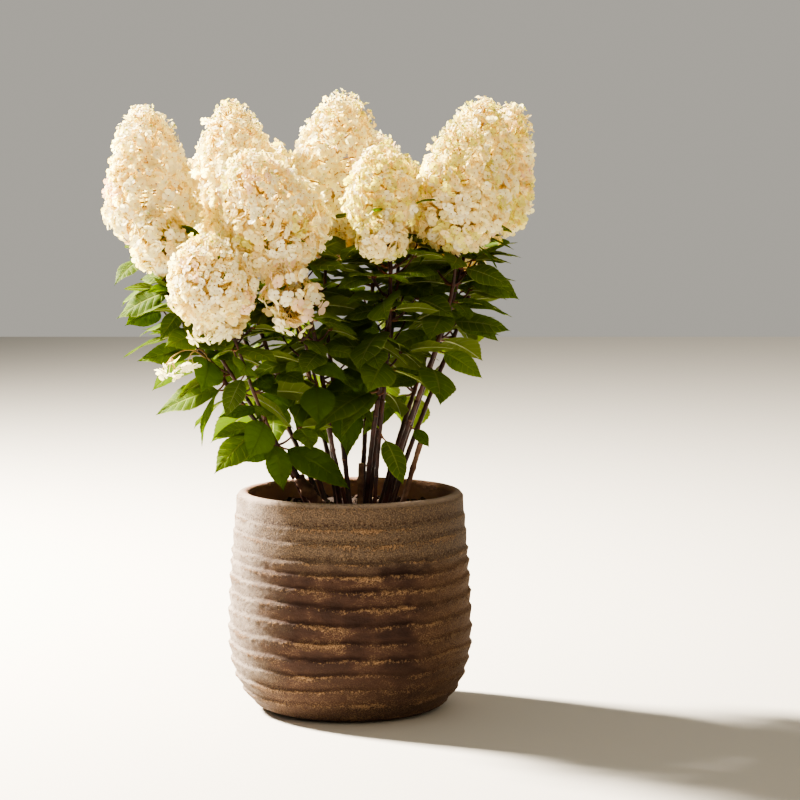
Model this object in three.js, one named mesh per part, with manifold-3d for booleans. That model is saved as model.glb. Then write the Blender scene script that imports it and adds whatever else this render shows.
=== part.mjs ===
/*
A panicle hydrangea in full bloom, growing in a ribbed terracotta planter. Millimetres, +Z up.
The origin is the middle of the planter's flat underside, and the crown shows its best side to -Y.

Canes rise in a clump from the potting soil, two of them from a fork of old wood. Each cane ends where
its leaves begin. A leafy shoot carries on from there along the same curve, with its leaves in opposite
pairs and each pair turned a quarter from the last, and a cone of florets stands on the shoot's tip.
*/
import * as THREE from "three";
import { mergeVertices } from "three/addons/utils/BufferGeometryUtils.js";
import Module from "manifold-3d";

const wasm = await Module();
wasm.setup();

// The seat between two neighbouring pieces, and the room that a leaf keeps from anything it isn't part of.
const SEAT = 0.3;
const LEAF_ROOM = 0.4;

// The planter is hand built: each clay band is widest near its top and draws in to a groove under it.
const PLANTER = {
  height: 268,
  footRadius: 92,
  bellyRadius: 148,
  bellyHeight: 95,
  rimRadius: 137,
  rimBand: 22,
  lipRound: 6,
  wall: 14.5,
  floor: 16,
  floorCorner: 12,
  bands: 12,
  relief: 1.6,
  ledge: 5,
  lowestGroove: 13,
  facets: 32,
};

const SOIL = { belowRim: 24, flatRadius: 84, lump: 3 };

// The canes' feet stand round this point, drawn in to this share of where their blooms are.
const CLUMP = { x: 9, y: 0, gather: 0.26 };

// A cane rises straight at first, then bends out, and at its end runs into its bloom's axis.
const CANE = {
  footRadius: 3.8,
  tipRadius: 2.5,
  flare: 1.5,
  flareShare: 0.06,
  straightUp: 0.38,
  spread: 0.3,
  bendIn: 0.3,
  sides: 6,
  pieceLength: 45,
};

// The stump of an older stem, which forks into a front cane and a back one.
const OLD_WOOD = { root: [-32, -26], tip: [-62, -36, 288], footRadius: 7.6, tipRadius: 6.9, fork: 3.8 };

const SHOOT = {
  sides: 4,
  pieceLength: 32,
  pairSpacing: 35,
  firstPair: 0.05,
  lastPair: 0.94,
  tries: 7,
};

const LEAF = {
  petiole: 15,
  length: 90,
  widthShare: 0.54,
  thickness: 1.3,
  fold: 0.16,
  sag: 0.3,
  lowRise: -22,
  highRise: 14,
  roll: 42,
  scatter: 22,
  sizeScatter: 0.14,
  topScale: 0.68,
  swing: 12,
  lift: 9,
};

// The leaves stay between these sides. The right one slants out from the low height to the high one.
const CROWN = { left: -285, lowRight: 105, right: 208, lowHeight: 320, highHeight: 480 };

const BLOOM = {
  sides: 10,
  rings: 8,
  widest: 0.28,
  blunt: 1.3,
  lump: 0.075,
  stalkRadius: 3.4,
  florets: 7,
  floretSpan: 17,
  floretDepth: 3.2,
  floretTilt: 20,
  lowestFloret: 0.14,
  highestFloret: 0.86,
};

/*
One row for each cane: where its bloom's foot and tip are, the bloom's widest radius, the share of the
cane that is bare, and the bearing in degrees of its lowest pair of leaves. scale makes a thinner cane
with smaller leaves, and root puts its foot where the clump would be too crowded. fork puts it on the
old wood's tip instead, at the front or the back of it. widest is the share of its bloom's height where
the bloom is widest, if it isn't the usual one.
*/
const CANES = [
  { name: "left_tall", foot: [-234, -20, 572], tip: [-248, -22, 740], radius: 59, bare: 0.4, turn: 195,
    scale: 0.92, fork: -1, widest: 0.2 },
  { name: "left_low", foot: [-212, -60, 541], tip: [-241, -80, 612], radius: 36, bare: 0.46, turn: 150,
    scale: 0.8 },
  { name: "back_left", foot: [-135, 60, 560], tip: [-148, 72, 744], radius: 61, bare: 0.5, turn: 120 },
  { name: "back_middle", foot: [-29, 58, 550], tip: [-6, 70, 755], radius: 69, bare: 0.49, turn: 75 },
  { name: "front_middle", foot: [-67, -68, 546], tip: [-124, -136, 680], radius: 66, bare: 0.5, turn: 30 },
  { name: "front_left", foot: [-137, -88, 465], tip: [-175, -156, 580], radius: 57, bare: 0.2, turn: 170,
    scale: 0.85, fork: 1, widest: 0.52 },
  { name: "front_low", foot: [-61, -96, 487], tip: [-80, -146, 556], radius: 37, bare: 0.62, turn: 100,
    scale: 0.75, root: [-3, -32] },
  { name: "middle_lime", foot: [47, -66, 588], tip: [34, -106, 688], radius: 50, bare: 0.4, turn: 12 },
  { name: "middle_low", foot: [45, -84, 564], tip: [34, -132, 608], radius: 31, bare: 0.42, turn: 60,
    scale: 0.75, root: [30, -44] },
  { name: "right_front", foot: [129, -42, 564], tip: [130, -92, 716], radius: 57, bare: 0.42, turn: 8 },
  { name: "centre_right", foot: [60, 62, 560], tip: [64, 76, 676], radius: 48, bare: 0.5, turn: 25 },
  { name: "right_middle", foot: [144, 32, 582], tip: [165, 44, 748], radius: 56, bare: 0.46, turn: 40 },
  { name: "right_back", foot: [168, 108, 570], tip: [206, 126, 740], radius: 48, bare: 0.5, turn: 65 },
  { name: "rear_left", foot: [-164, 126, 520], tip: [-202, 174, 640], radius: 47, bare: 0.42, turn: 130 },
  { name: "rear_inner", foot: [-86, 148, 548], tip: [-108, 202, 692], radius: 56, bare: 0.5, turn: 100 },
  { name: "rear_middle", foot: [28, 158, 552], tip: [32, 212, 702], radius: 56, bare: 0.5, turn: 80 },
  { name: "rear_right", foot: [120, 150, 520], tip: [146, 206, 652], radius: 51, bare: 0.46, turn: 50 },
];

// Last year's canes, cut off low down.
const CUT_CANES = [
  { name: "cut_cane_middle", root: [12, -4], tip: [14, -5, 301], radius: 3.6 },
  { name: "cut_cane_right", root: [62, -4], tip: [86, -2, 326], radius: 3.2 },
];

const COLOURS = {
  terracotta: 0x8f7561,
  soil: 0x2b1f18,
  bark: 0x3f2620,
  leaf: 0x3f5f22,
  petals: 0xf3e6cf,
};

const up = new THREE.Vector3(0, 0, 1);
const vector = ([x, y, z]) => new THREE.Vector3(x, y, z);
const radians = THREE.MathUtils.degToRad;
const mix = THREE.MathUtils.lerp;
const goldenAngle = Math.PI * (3 - Math.sqrt(5));

// A number from 0 to 1 that is always the same for the same seed and index.
function chance(seed, index) {
  const wave = Math.sin(seed * 127.1 + index * 311.7) * 43758.5453;
  return wave - Math.floor(wave);
}

// The same, as a number from -1 to 1.
const scatter = (seed, index) => 2 * chance(seed, index) - 1;

// A geometry's faces as a solid, once its shared corners are one.
function solidFrom(geometry) {
  const bare = geometry.clone();
  bare.deleteAttribute("normal");
  bare.deleteAttribute("uv");
  const merged = mergeVertices(bare, 1e-4);
  return new wasm.Manifold(
    new wasm.Mesh({
      numProp: 3,
      vertProperties: new Float32Array(merged.attributes.position.array),
      triVerts: new Uint32Array(merged.index.array),
    }),
  );
}

function geometryFrom(solid) {
  const { numProp, numVert, vertProperties, triVerts } = solid.getMesh();
  const corners = new Float32Array(numVert * 3);
  for (let i = 0; i < numVert; i += 1) {
    corners.set(vertProperties.subarray(i * numProp, i * numProp + 3), i * 3);
  }
  const geometry = new THREE.BufferGeometry();
  geometry.setAttribute("position", new THREE.BufferAttribute(corners, 3));
  geometry.setIndex(new THREE.BufferAttribute(new Uint32Array(triVerts), 1));
  geometry.computeVertexNormals();
  return geometry;
}

// The largest piece of a solid, for where a cut leaves a crumb beside it.
function largest(solid) {
  return solid.decompose().reduce((best, piece) => (piece.volume() > best.volume() ? piece : best));
}

// The planter's outer radius at a height, before its bands: a round foot, a belly and a drawn-in neck.
function planterRadius(z) {
  const { footRadius, bellyRadius, bellyHeight, height, rimRadius } = PLANTER;
  if (z < bellyHeight) {
    const below = 1 - z / bellyHeight;
    return footRadius + (bellyRadius - footRadius) * Math.sqrt(1 - below * below);
  }
  const above = (z - bellyHeight) / (height - bellyHeight);
  return bellyRadius - (bellyRadius - rimRadius) * above ** 1.6;
}

const innerRadius = (z) => planterRadius(z) - PLANTER.wall;

// The hollow's profile from mid height down to the middle of its floor, drawn in by a clearance.
function hollow(clearance) {
  const { height, bellyHeight, floor, floorCorner } = PLANTER;
  const wall = [height / 2, bellyHeight, floor + 3 * floorCorner, floor + floorCorner];
  return [
    ...wall.map((z) => [innerRadius(z) - clearance, z]),
    [innerRadius(floor + floorCorner) - floorCorner - clearance, floor + clearance],
    [0, floor + clearance],
  ];
}

// The hollow's radius on its straight run of wall from mid height up to the lip.
function innerRadiusNearRim(z) {
  const low = PLANTER.height / 2;
  const high = PLANTER.height - PLANTER.lipRound;
  return mix(innerRadius(low), PLANTER.rimRadius - PLANTER.wall, (z - low) / (high - low));
}

function turned(profile, facets) {
  const points = profile.map(([radius, z]) => new THREE.Vector2(radius, z));
  return new THREE.LatheGeometry(points, facets).rotateX(Math.PI / 2);
}

function planter() {
  const { height, footRadius, rimRadius, wall, bands, relief, ledge, lowestGroove, lipRound } = PLANTER;
  const highestGroove = height - PLANTER.rimBand;
  const pitch = (highestGroove - lowestGroove) / bands;
  const outside = [[0, 0], [footRadius, 0]];
  for (let band = 0; band < bands; band += 1) {
    const groove = lowestGroove + band * pitch;
    const crest = groove + pitch - ledge;
    outside.push([planterRadius(groove) - relief, groove], [planterRadius(crest) + relief, crest]);
  }
  outside.push([planterRadius(highestGroove) - relief, highestGroove]);
  outside.push([planterRadius(highestGroove + ledge) + relief / 2, highestGroove + ledge]);
  const lip = [
    [rimRadius, height - lipRound],
    [rimRadius - lipRound * 0.6, height - lipRound * 0.2],
    [rimRadius - wall / 2, height],
    [rimRadius - wall + lipRound * 0.4, height - lipRound * 0.2],
    [rimRadius - wall, height - lipRound],
  ];
  return solidFrom(turned([...outside, ...lip, ...hollow(0)], PLANTER.facets));
}

// The potting soil fills the planter to a little under its rim. It is level where the canes stand, with lumps
// round them.
function pottingSoil() {
  const level = PLANTER.height - SOIL.belowRim;
  const edge = innerRadiusNearRim(level) - SEAT;
  const surface = [
    [edge, level - SOIL.lump],
    [(edge + SOIL.flatRadius) / 2, level],
    [SOIL.flatRadius, level],
    [0, level],
  ];
  const lumpyRing = 1;
  const profile = [...hollow(SEAT).reverse(), ...surface];
  const geometry = turned(profile, PLANTER.facets);
  const position = geometry.attributes.position;
  for (let i = 0; i < position.count; i += 1) {
    const ring = i % profile.length;
    const facet = Math.floor(i / profile.length) % PLANTER.facets;
    if (ring === profile.length - surface.length + lumpyRing) {
      position.setZ(i, level + SOIL.lump * scatter(0, facet));
    }
  }
  return solidFrom(geometry);
}

const GROUND = PLANTER.height - SOIL.belowRim + SEAT;

const oldWoodFoot = () => new THREE.Vector3(...OLD_WOOD.root, GROUND);
const oldWoodAxis = () => vector(OLD_WOOD.tip).sub(oldWoodFoot()).normalize();

// Where a cane stands on the old wood's cut tip: beside its middle, a seat's width off it.
function forkSeat(side) {
  const axis = oldWoodAxis();
  const seat = vector(OLD_WOOD.tip).addScaledVector(axis, SEAT);
  return seat.addScaledVector(framed(axis).beside, side * OLD_WOOD.fork);
}

// A cane's whole line, from its root to its bloom's foot, where it runs into the bloom's own axis.
function caneLine(row) {
  const foot = vector(row.foot);
  const [x, y] = row.root ?? [mix(CLUMP.x, foot.x, CLUMP.gather), mix(CLUMP.y, foot.y, CLUMP.gather)];
  const root = row.fork ? forkSeat(row.fork) : new THREE.Vector3(x, y, GROUND);
  const reach = foot.clone().sub(root);
  const lean = vector(row.tip).sub(foot).normalize();
  const { straightUp, spread } = CANE;
  const low = row.fork
    ? root.clone().addScaledVector(oldWoodAxis(), reach.length() * straightUp)
    : root.clone().add(new THREE.Vector3(reach.x * spread, reach.y * spread, reach.z * straightUp));
  const high = foot.clone().addScaledVector(lean, -reach.length() * CANE.bendIn);
  return new THREE.CubicBezierCurve3(root, low, high, foot);
}

// Two directions across a line that runs along forward, so that across x forward = beside.
function framed(forward) {
  const across = new THREE.Vector3(1, 0, 0);
  across.addScaledVector(forward, -across.dot(forward)).normalize();
  return { across, beside: across.clone().cross(forward) };
}

// A tapering limb along part of a line: a cylinder bent to it. Where it starts on the soil its cut is level.
function limb(line, from, to, radiusAt, sides, pieces, onSoil = false) {
  const geometry = new THREE.CylinderGeometry(1, 1, 1, sides, pieces);
  const position = geometry.attributes.position;
  for (let i = 0; i < position.count; i += 1) {
    const share = position.getY(i) + 0.5;
    const t = mix(from, to, share);
    const { across, beside } = framed(line.getTangentAt(t));
    const point = line.getPointAt(t);
    const radius = radiusAt(t);
    point.addScaledVector(across, position.getX(i) * radius);
    point.addScaledVector(beside, position.getZ(i) * radius);
    if (onSoil && share < 1e-6) point.z = GROUND;
    position.setXYZ(i, point.x, point.y, point.z);
  }
  return solidFrom(geometry);
}

function caneRadius(row) {
  const scale = row.scale ?? 1;
  return (t) => {
    const flare = row.fork ? 1 : 1 + (CANE.flare - 1) * Math.max(0, 1 - t / CANE.flareShare) ** 2;
    return mix(CANE.footRadius, CANE.tipRadius, t) * scale * flare;
  };
}

function cane(row, line) {
  const length = line.getLength();
  const pieces = Math.round((row.bare * length) / CANE.pieceLength) + 1;
  return limb(line, 0, row.bare - SEAT / length, caneRadius(row), CANE.sides, pieces, !row.fork);
}

function oldWood() {
  const line = new THREE.LineCurve3(oldWoodFoot(), vector(OLD_WOOD.tip));
  const radius = (t) => mix(OLD_WOOD.footRadius, OLD_WOOD.tipRadius, t);
  return limb(line, 0, 1, radius, CANE.sides + 2, 1, true);
}

function cutCane(row) {
  const line = new THREE.LineCurve3(new THREE.Vector3(row.root[0], row.root[1], GROUND), vector(row.tip));
  return limb(line, 0, 1, () => row.radius, CANE.sides, 1, true);
}

function shootStem(row, line, clearance = 0) {
  const length = line.getLength();
  const pieces = Math.round(((1 - row.bare) * length) / SHOOT.pieceLength) + 1;
  const radius = caneRadius(row);
  return limb(line, row.bare, 1 - SEAT / length, (t) => radius(t) + clearance, SHOOT.sides, pieces);
}

// A leaf on its stalk: a thin blade with a keel under its midrib, a sagging tip and its root in the stem.
function leaf({ root, along, over, length, petiole }) {
  const side = over.clone().cross(along);
  const widest = (length * LEAF.widthShare) / 2;
  const stations = [
    { at: 0, half: LEAF.thickness },
    { at: 0.34, half: widest },
    { at: 0.68, half: widest * 0.78 },
  ];
  const spine = (at) =>
    root
      .clone()
      .addScaledVector(along, petiole + at * length)
      .addScaledVector(over, -LEAF.sag * length * at * at);
  const corners = [root];
  for (const { at, half } of stations) {
    const lift = half * LEAF.fold;
    corners.push(
      spine(at).addScaledVector(side, half).addScaledVector(over, lift),
      spine(at).addScaledVector(side, -half).addScaledVector(over, lift),
      spine(at).addScaledVector(over, -LEAF.thickness),
    );
  }
  corners.push(spine(1));
  const tip = corners.length - 1;
  const faces = [];
  for (let k = 0; k < 3; k += 1) {
    const next = (k + 1) % 3;
    faces.push(0, 1 + next, 1 + k);
    for (let ring = 0; ring + 1 < stations.length; ring += 1) {
      const here = 1 + ring * 3;
      const there = here + 3;
      faces.push(here + k, here + next, there + next, here + k, there + next, there + k);
    }
    faces.push(tip - 3 + k, tip - 3 + next, tip);
  }
  const geometry = new THREE.BufferGeometry();
  geometry.setAttribute("position", new THREE.Float32BufferAttribute(corners.flatMap((c) => c.toArray()), 3));
  geometry.setIndex(faces);
  return solidFrom(geometry);
}

// Where a shoot's leaves stand, by rule: pairs up the stem, each turned a quarter from the one below.
function leafPlaces(row, line, seed) {
  const scale = row.scale ?? 1;
  const pairs = Math.round(((1 - row.bare) * line.getLength()) / (SHOOT.pairSpacing * scale));
  const places = [];
  for (let pair = 0; pair < pairs; pair += 1) {
    const height = pairs > 1 ? pair / (pairs - 1) : 0;
    const t = mix(row.bare, 1, mix(SHOOT.firstPair, SHOOT.lastPair, height));
    for (let half = 0; half < 2; half += 1) {
      const index = pair * 2 + half;
      const size = scale * mix(1, LEAF.topScale, height ** 2) * (1 + LEAF.sizeScatter * scatter(seed, index));
      places.push({
        t,
        bearing: row.turn + pair * 90 + half * 180 + LEAF.scatter * scatter(seed, index + 50),
        rise: mix(LEAF.lowRise, LEAF.highRise, height) + (LEAF.scatter / 2) * scatter(seed, index + 90),
        roll: LEAF.roll * scatter(seed, index + 130),
        length: LEAF.length * size,
        petiole: LEAF.petiole * size,
        index,
      });
    }
  }
  return places;
}

// The leaf of one place. Each further try swings it further to one side or the other, and lifts or drops it.
function leafAt(place, line, attempt) {
  const side = attempt % 2 ? 1 : -1;
  const bearing = radians(place.bearing + side * LEAF.swing * Math.ceil(attempt / 2));
  const rise = radians(place.rise + (attempt ? LEAF.lift * ((attempt % 3) - 1) : 0));
  const flat = new THREE.Vector3(Math.cos(bearing), Math.sin(bearing), 0);
  const along = flat.clone().multiplyScalar(Math.cos(rise)).addScaledVector(up, Math.sin(rise));
  const over = up.clone().multiplyScalar(Math.cos(rise)).addScaledVector(flat, -Math.sin(rise));
  over.applyAxisAngle(along, radians(place.roll));
  return leaf({ root: line.getPointAt(place.t), along, over, length: place.length, petiole: place.petiole });
}

// A bloom's radius at a share of its height: a blunt cone, rounded under its widest ring.
function bloomRadius(at, row) {
  const widest = row.widest ?? BLOOM.widest;
  const away = at < widest ? 1 - at / widest : (at - widest) / (1 - widest);
  return row.radius * Math.sqrt(1 - away ** (at < widest ? 2 : BLOOM.blunt));
}

// Stands a solid made about the Z axis on its bloom's foot, along the bloom's own axis.
function onFoot(solid, row) {
  const foot = vector(row.foot);
  const axis = vector(row.tip).sub(foot).normalize();
  const turn = new THREE.Quaternion().setFromUnitVectors(up, axis);
  return solid.transform(new THREE.Matrix4().compose(foot, turn, new THREE.Vector3(1, 1, 1)).toArray());
}

const bloomLength = (row) => vector(row.tip).distanceTo(vector(row.foot));

// A floret that stands out of a bloom: one of a spiral of them up the cone.
function floret(index, row, length, seed) {
  const at = mix(BLOOM.lowestFloret, BLOOM.highestFloret, index / (BLOOM.florets - 1));
  const bearing = index * goldenAngle + seed;
  const reach = bloomRadius(at, row) - BLOOM.floretDepth;
  const geometry = new THREE.OctahedronGeometry(1);
  geometry.scale(BLOOM.floretDepth, BLOOM.floretSpan / 2, BLOOM.floretSpan / 2);
  geometry.rotateY(-radians(BLOOM.floretTilt)).rotateZ(bearing);
  geometry.translate(Math.cos(bearing) * reach, Math.sin(bearing) * reach, at * length);
  return solidFrom(geometry);
}

function bloom(row, seed) {
  const length = bloomLength(row);
  const profile = [[0, 0], [BLOOM.stalkRadius, 0]];
  for (let ring = 1; ring < BLOOM.rings; ring += 1) {
    const at = (1 - Math.cos((ring / BLOOM.rings) * Math.PI)) / 2;
    profile.push([bloomRadius(at, row) * (1 - BLOOM.lump / 2), at * length]);
  }
  profile.push([0, length]);
  const geometry = turned(profile, BLOOM.sides);
  const position = geometry.attributes.position;
  for (let i = 0; i < position.count; i += 1) {
    const ring = i % profile.length;
    const side = Math.floor(i / profile.length) % BLOOM.sides;
    if (ring < 2 || ring === profile.length - 1) continue;
    const inOrOut = (ring + side) % 2 ? 1 : -1;
    const swell = 1 + (BLOOM.lump / 2) * (inOrOut + scatter(seed, ring * BLOOM.sides + side));
    position.setXY(i, position.getX(i) * swell, position.getY(i) * swell);
  }
  let solid = solidFrom(geometry);
  for (let k = 0; k < BLOOM.florets; k += 1) solid = solid.add(floret(k, row, length, seed));
  return onFoot(solid, row);
}

// The plain cone that a bloom's lumps and florets all stay inside, to cut its neighbours clear of it.
function bloomSpace(row) {
  const length = bloomLength(row);
  const room = BLOOM.floretSpan / 2;
  const profile = [[0, -room], [row.radius * 0.5, -room]];
  for (let ring = 1; ring < BLOOM.rings; ring += 1) {
    const at = ring / BLOOM.rings;
    profile.push([bloomRadius(at, row) + room, at * length]);
  }
  profile.push([room * 2, length + room], [0, length + room]);
  return onFoot(solidFrom(turned(profile, BLOOM.sides * 2)), row);
}

function near(a, b) {
  const [p, q] = [a.boundingBox(), b.boundingBox()];
  const clear = (low, high) => low > high + LEAF_ROOM;
  return [0, 1, 2].every((axis) => !clear(p.min[axis], q.max[axis]) && !clear(q.min[axis], p.max[axis]));
}

const tooClose = (a, b) => near(a, b) && a.minGap(b, 1) < LEAF_ROOM;

function outsideCrown(blade) {
  const { min, max } = blade.boundingBox();
  const { left, lowRight, right, lowHeight, highHeight } = CROWN;
  const height = THREE.MathUtils.clamp(min[2], lowHeight, highHeight);
  return min[0] < left || max[0] > THREE.MathUtils.mapLinear(height, lowHeight, highHeight, lowRight, right);
}

const materials = Object.fromEntries(
  Object.entries(COLOURS).map(([name, color]) => [
    name,
    new THREE.MeshStandardMaterial({ name, color, roughness: name === "leaf" ? 0.45 : 0.9, metalness: 0 }),
  ]),
);

const hydrangea = new THREE.Group();
hydrangea.name = "potted_hydrangea";

function addPiece(name, solid, material) {
  const mesh = new THREE.Mesh(geometryFrom(solid), materials[material]);
  mesh.name = name;
  hydrangea.add(mesh);
}

const plants = CANES.map((row, index) => {
  const line = caneLine(row);
  return { row, line, seed: index + 1, cane: cane(row, line), stem: shootStem(row, line), leaves: [] };
});
const stumps = [
  { name: "old_wood_left", solid: oldWood() },
  ...CUT_CANES.map((row) => ({ name: row.name, solid: cutCane(row) })),
];

// Where blooms press on each other, each is cut clear of the ones before it, and of any stem in its way.
for (const plant of plants) {
  let solid = bloom(plant.row, plant.seed);
  for (const other of plants) {
    if (other.bloom && near(solid, other.bloom)) solid = solid.subtract(bloomSpace(other.row));
    if (other === plant || !near(solid, other.stem)) continue;
    solid = solid.subtract(shootStem(other.row, other.line, SEAT * 2));
  }
  plant.bloom = largest(solid);
}

const pot = planter();
const soil = pottingSoil();

// Leaves go on one round at a time, so that every shoot gets its share of the room. One that finds no place
// inside the crown after a few tries, where it touches nothing but its own stem, is left off.
const rounds = Math.max(...plants.map(({ row, line, seed }) => leafPlaces(row, line, seed).length));
for (let round = 0; round < rounds; round += 1) {
  for (const plant of plants) {
    const place = leafPlaces(plant.row, plant.line, plant.seed)[round];
    const others = plants.flatMap((p) => [p.cane, p.bloom, ...p.leaves, ...(p === plant ? [] : [p.stem])]);
    others.push(pot, soil, ...stumps.map(({ solid }) => solid));
    for (let attempt = 0; place && attempt < SHOOT.tries; attempt += 1) {
      const blade = leafAt(place, plant.line, attempt);
      const pairMate = place.index % 2 ? plant.leaves.at(-1) : null;
      if (outsideCrown(blade)) continue;
      if (others.some((other) => other !== pairMate && tooClose(blade, other))) continue;
      plant.leaves.push(blade);
      break;
    }
  }
}

addPiece("planter", pot, "terracotta");
addPiece("potting_soil", soil, "soil");
for (const { row, cane: bough, stem, leaves, bloom: flowers } of plants) {
  addPiece(`cane_${row.name}`, bough, "bark");
  addPiece(`foliage_${row.name}`, leaves.reduce((whole, blade) => whole.add(blade), stem), "leaf");
  addPiece(`bloom_${row.name}`, flowers, "petals");
}
for (const { name, solid } of stumps) addPiece(name, solid, "bark");

export default hydrangea;
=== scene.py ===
"""The looks of a panicle hydrangea in full bloom, growing in a ribbed terracotta planter. Metres, +Z up."""
import math
from functools import partial
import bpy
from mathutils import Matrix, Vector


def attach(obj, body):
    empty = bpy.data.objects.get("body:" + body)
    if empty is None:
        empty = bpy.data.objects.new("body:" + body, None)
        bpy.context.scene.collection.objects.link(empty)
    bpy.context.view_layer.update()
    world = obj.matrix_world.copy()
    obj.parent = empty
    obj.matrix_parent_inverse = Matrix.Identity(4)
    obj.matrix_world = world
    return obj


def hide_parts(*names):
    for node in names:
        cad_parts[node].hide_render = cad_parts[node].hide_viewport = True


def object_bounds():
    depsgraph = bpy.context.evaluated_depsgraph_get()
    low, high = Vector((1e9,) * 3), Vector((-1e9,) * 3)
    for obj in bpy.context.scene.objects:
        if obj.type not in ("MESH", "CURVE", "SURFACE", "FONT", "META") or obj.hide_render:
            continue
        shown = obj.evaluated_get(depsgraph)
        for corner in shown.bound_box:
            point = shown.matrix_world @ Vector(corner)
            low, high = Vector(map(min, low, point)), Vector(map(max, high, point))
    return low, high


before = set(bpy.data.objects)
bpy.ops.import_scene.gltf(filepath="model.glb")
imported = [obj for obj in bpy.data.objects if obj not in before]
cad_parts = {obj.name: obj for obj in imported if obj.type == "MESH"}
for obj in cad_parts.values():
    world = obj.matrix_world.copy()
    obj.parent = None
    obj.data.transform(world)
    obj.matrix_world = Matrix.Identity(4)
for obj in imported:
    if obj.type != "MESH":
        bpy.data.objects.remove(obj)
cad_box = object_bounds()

from types import SimpleNamespace as Sizes

import bpy
import numpy as np
from mathutils import Quaternion, Vector, noise
from mathutils.bvhtree import BVHTree

UP = np.array([0.0, 0.0, 1.0])
GOLDEN_ANGLE = math.pi * (3 - math.sqrt(5))

# The planter and its soil, as the frame holds them, and the lumps, crumbs and mesh of the soil's surface.
PLANTER = Sizes(height=0.268, foot_radius=0.092, belly_radius=0.148, belly_height=0.095, rim_radius=0.137,
                wall=0.0145, lip=0.006, floor=0.016)
SOIL = Sizes(below_rim=0.024, depth=0.02, lump=0.0028, lump_width=0.02, crumb=0.45, crumb_width=0.004,
             fade=0.008, rings=64, segments=168)
SEAT = 0.0003
GROUND = PLANTER.height - SOIL.below_rim + SEAT

# What lies strewn on the soil: how far out, how far it stands up by its size, and how many shapes it has.
# Each kind has its number, its least and greatest size, its height by its width, its material and its tones.
STREWN = Sizes(reach=0.97, proud=0.3, shapes=5)
LITTER = {
    "soil_clods": (420, (0.0012, 0.0048), 0.7, "compost_clods", ("#251912", "#4d3929")),
    "soil_bits": (120, (0.0008, 0.0024), 0.5, "compost_bits", ("#6d5640", "#a08a6c")),
}

# The clay bands: the height of each groove, how far a band stands out, and how far below a groove it does.
GROOVES = (0.013, 0.031, 0.049, 0.068, 0.087, 0.107, 0.128, 0.149, 0.169, 0.187, 0.202, 0.225, 0.244)
BAND = Sizes(relief=0.0017, top_relief=0.0008, ledge=0.005, waver=0.0042, lump=0.0007, crust=0.0011)

# The clay's mesh with the heights of its inner rows, its chips and dents, and how near the lip counts to a
# band's crest.
CLAY = Sizes(segments=280, outer_rows=150, lip_rows=9, chip=0.0005, dent=0.0005, lip_crest=0.7,
             inner_rows=(0.252, 0.23, 0.15, PLANTER.belly_height, 0.06, 0.03, PLANTER.floor))

# How a cane grows: the source's rule and sizes, and the joints of its mesh.
CLUMP = Sizes(x=0.009, y=0.0, gather=0.26)
CANE = Sizes(foot_radius=0.0038, tip_radius=0.0025, flare=1.5, flare_share=0.06, slim=0.86, straight_up=0.38,
             spread=0.3, bend_in=0.3)
OLD_WOOD = Sizes(root=(-0.032, -0.026), tip=(-0.062, -0.036, 0.288), foot_radius=0.0076, tip_radius=0.0069,
                 fork=0.0038)
JOINT = Sizes(width=0.0028, swell=0.26, first=0.03, gap=0.062, last=0.01, bump=0.006)

# An old leaf's scar: its shape, size and place by the cane's radius, and how far it lies under its joint.
SCAR = Sizes(shape=(0.62, 0.5, 0.95), size=0.95, out=0.92, below=0.0016)

# A stump: its rings' gap, its flared foot, its knot's place, and its sawn end's radii and reach.
STUMP = Sizes(ring_gap=0.0028, flare=0.25, flare_share=0.3, knot=0.62, end_radii=(0.84, 0.78),
              end_reach=(-0.0006, 0.0002))

# How the leaves and shoots grow, by the source's rule.
SHOOT = Sizes(pair_spacing=0.035, first_pair=0.05, last_pair=0.94, tries=7)
LEAF = Sizes(petiole=0.015, length=0.090, width_share=0.54, fold=0.16, sag=0.3, low_rise=-22, high_rise=14,
             roll=42, scatter=22, size_scatter=0.14, top_scale=0.68, swing=12, lift=9, thickness=0.0013,
             single_petiole=0.014)

# The leaves stay between these sides. The right one slants out from the low height to the high one.
CROWN = Sizes(left=-0.285, low_right=0.105, right=0.208, low_height=0.32, high_height=0.48)

# A leaf's fine shape: rows and columns of its mesh, its pairs of side veins, its relief by its length, the
# number of shapes, and the radii of its stalk and midrib, with how they bow, reach and lie.
BLADE = Sizes(rows=24, columns=6, veins=8, tooth=0.04, slant=0.52, quilt=0.017, wave=0.022, skin=0.005,
              shapes=8, stalk=(0.0017, 0.0011), stalk_bow=0.1, stalk_reach=1.04, rib=(0.0011, 0.0002),
              rib_end=0.9, rib_below=0.0007)

# Side twigs in the leaves' axils: their length, thickness at foot and tip, bow and directions, and the size
# and directions of the three small leaves that each has, of which the middle one is smaller.
TWIG = Sizes(length=0.034, length_scatter=0.4, radius=0.0013, foot=1.3, tip=0.8, bow=0.12, rise=38, turn=40,
             leaf_scale=0.62, middle=0.78, size_scatter=0.18, petiole=0.7, spread=74, leaf_rise=8,
             rise_scatter=16)

# A bloom: how blunt its cone is, a petal's length, the room of a floret, its sprays' width and depth, how far
# its florets follow their sprays, and the radii of its stalks, sprays' branches, trunk, buds and eyes.
BLOOM = Sizes(blunt=1.3, petal=0.0066, room=0.000064, lobe=0.031, lobe_depth=0.022, lobed=0.72, inset=0.0035,
              inner_share=0.6, bud_share=0.14, standing_share=0.3, standing=0.0072, gap=0.013, shapes=6,
              stalk=(0.0005, 0.0003), branch=(0.0015, 0.0009), trunk=(0.0026, 0.0008), bud=(0.0010, 0.0018),
              eye=0.0008)

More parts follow.
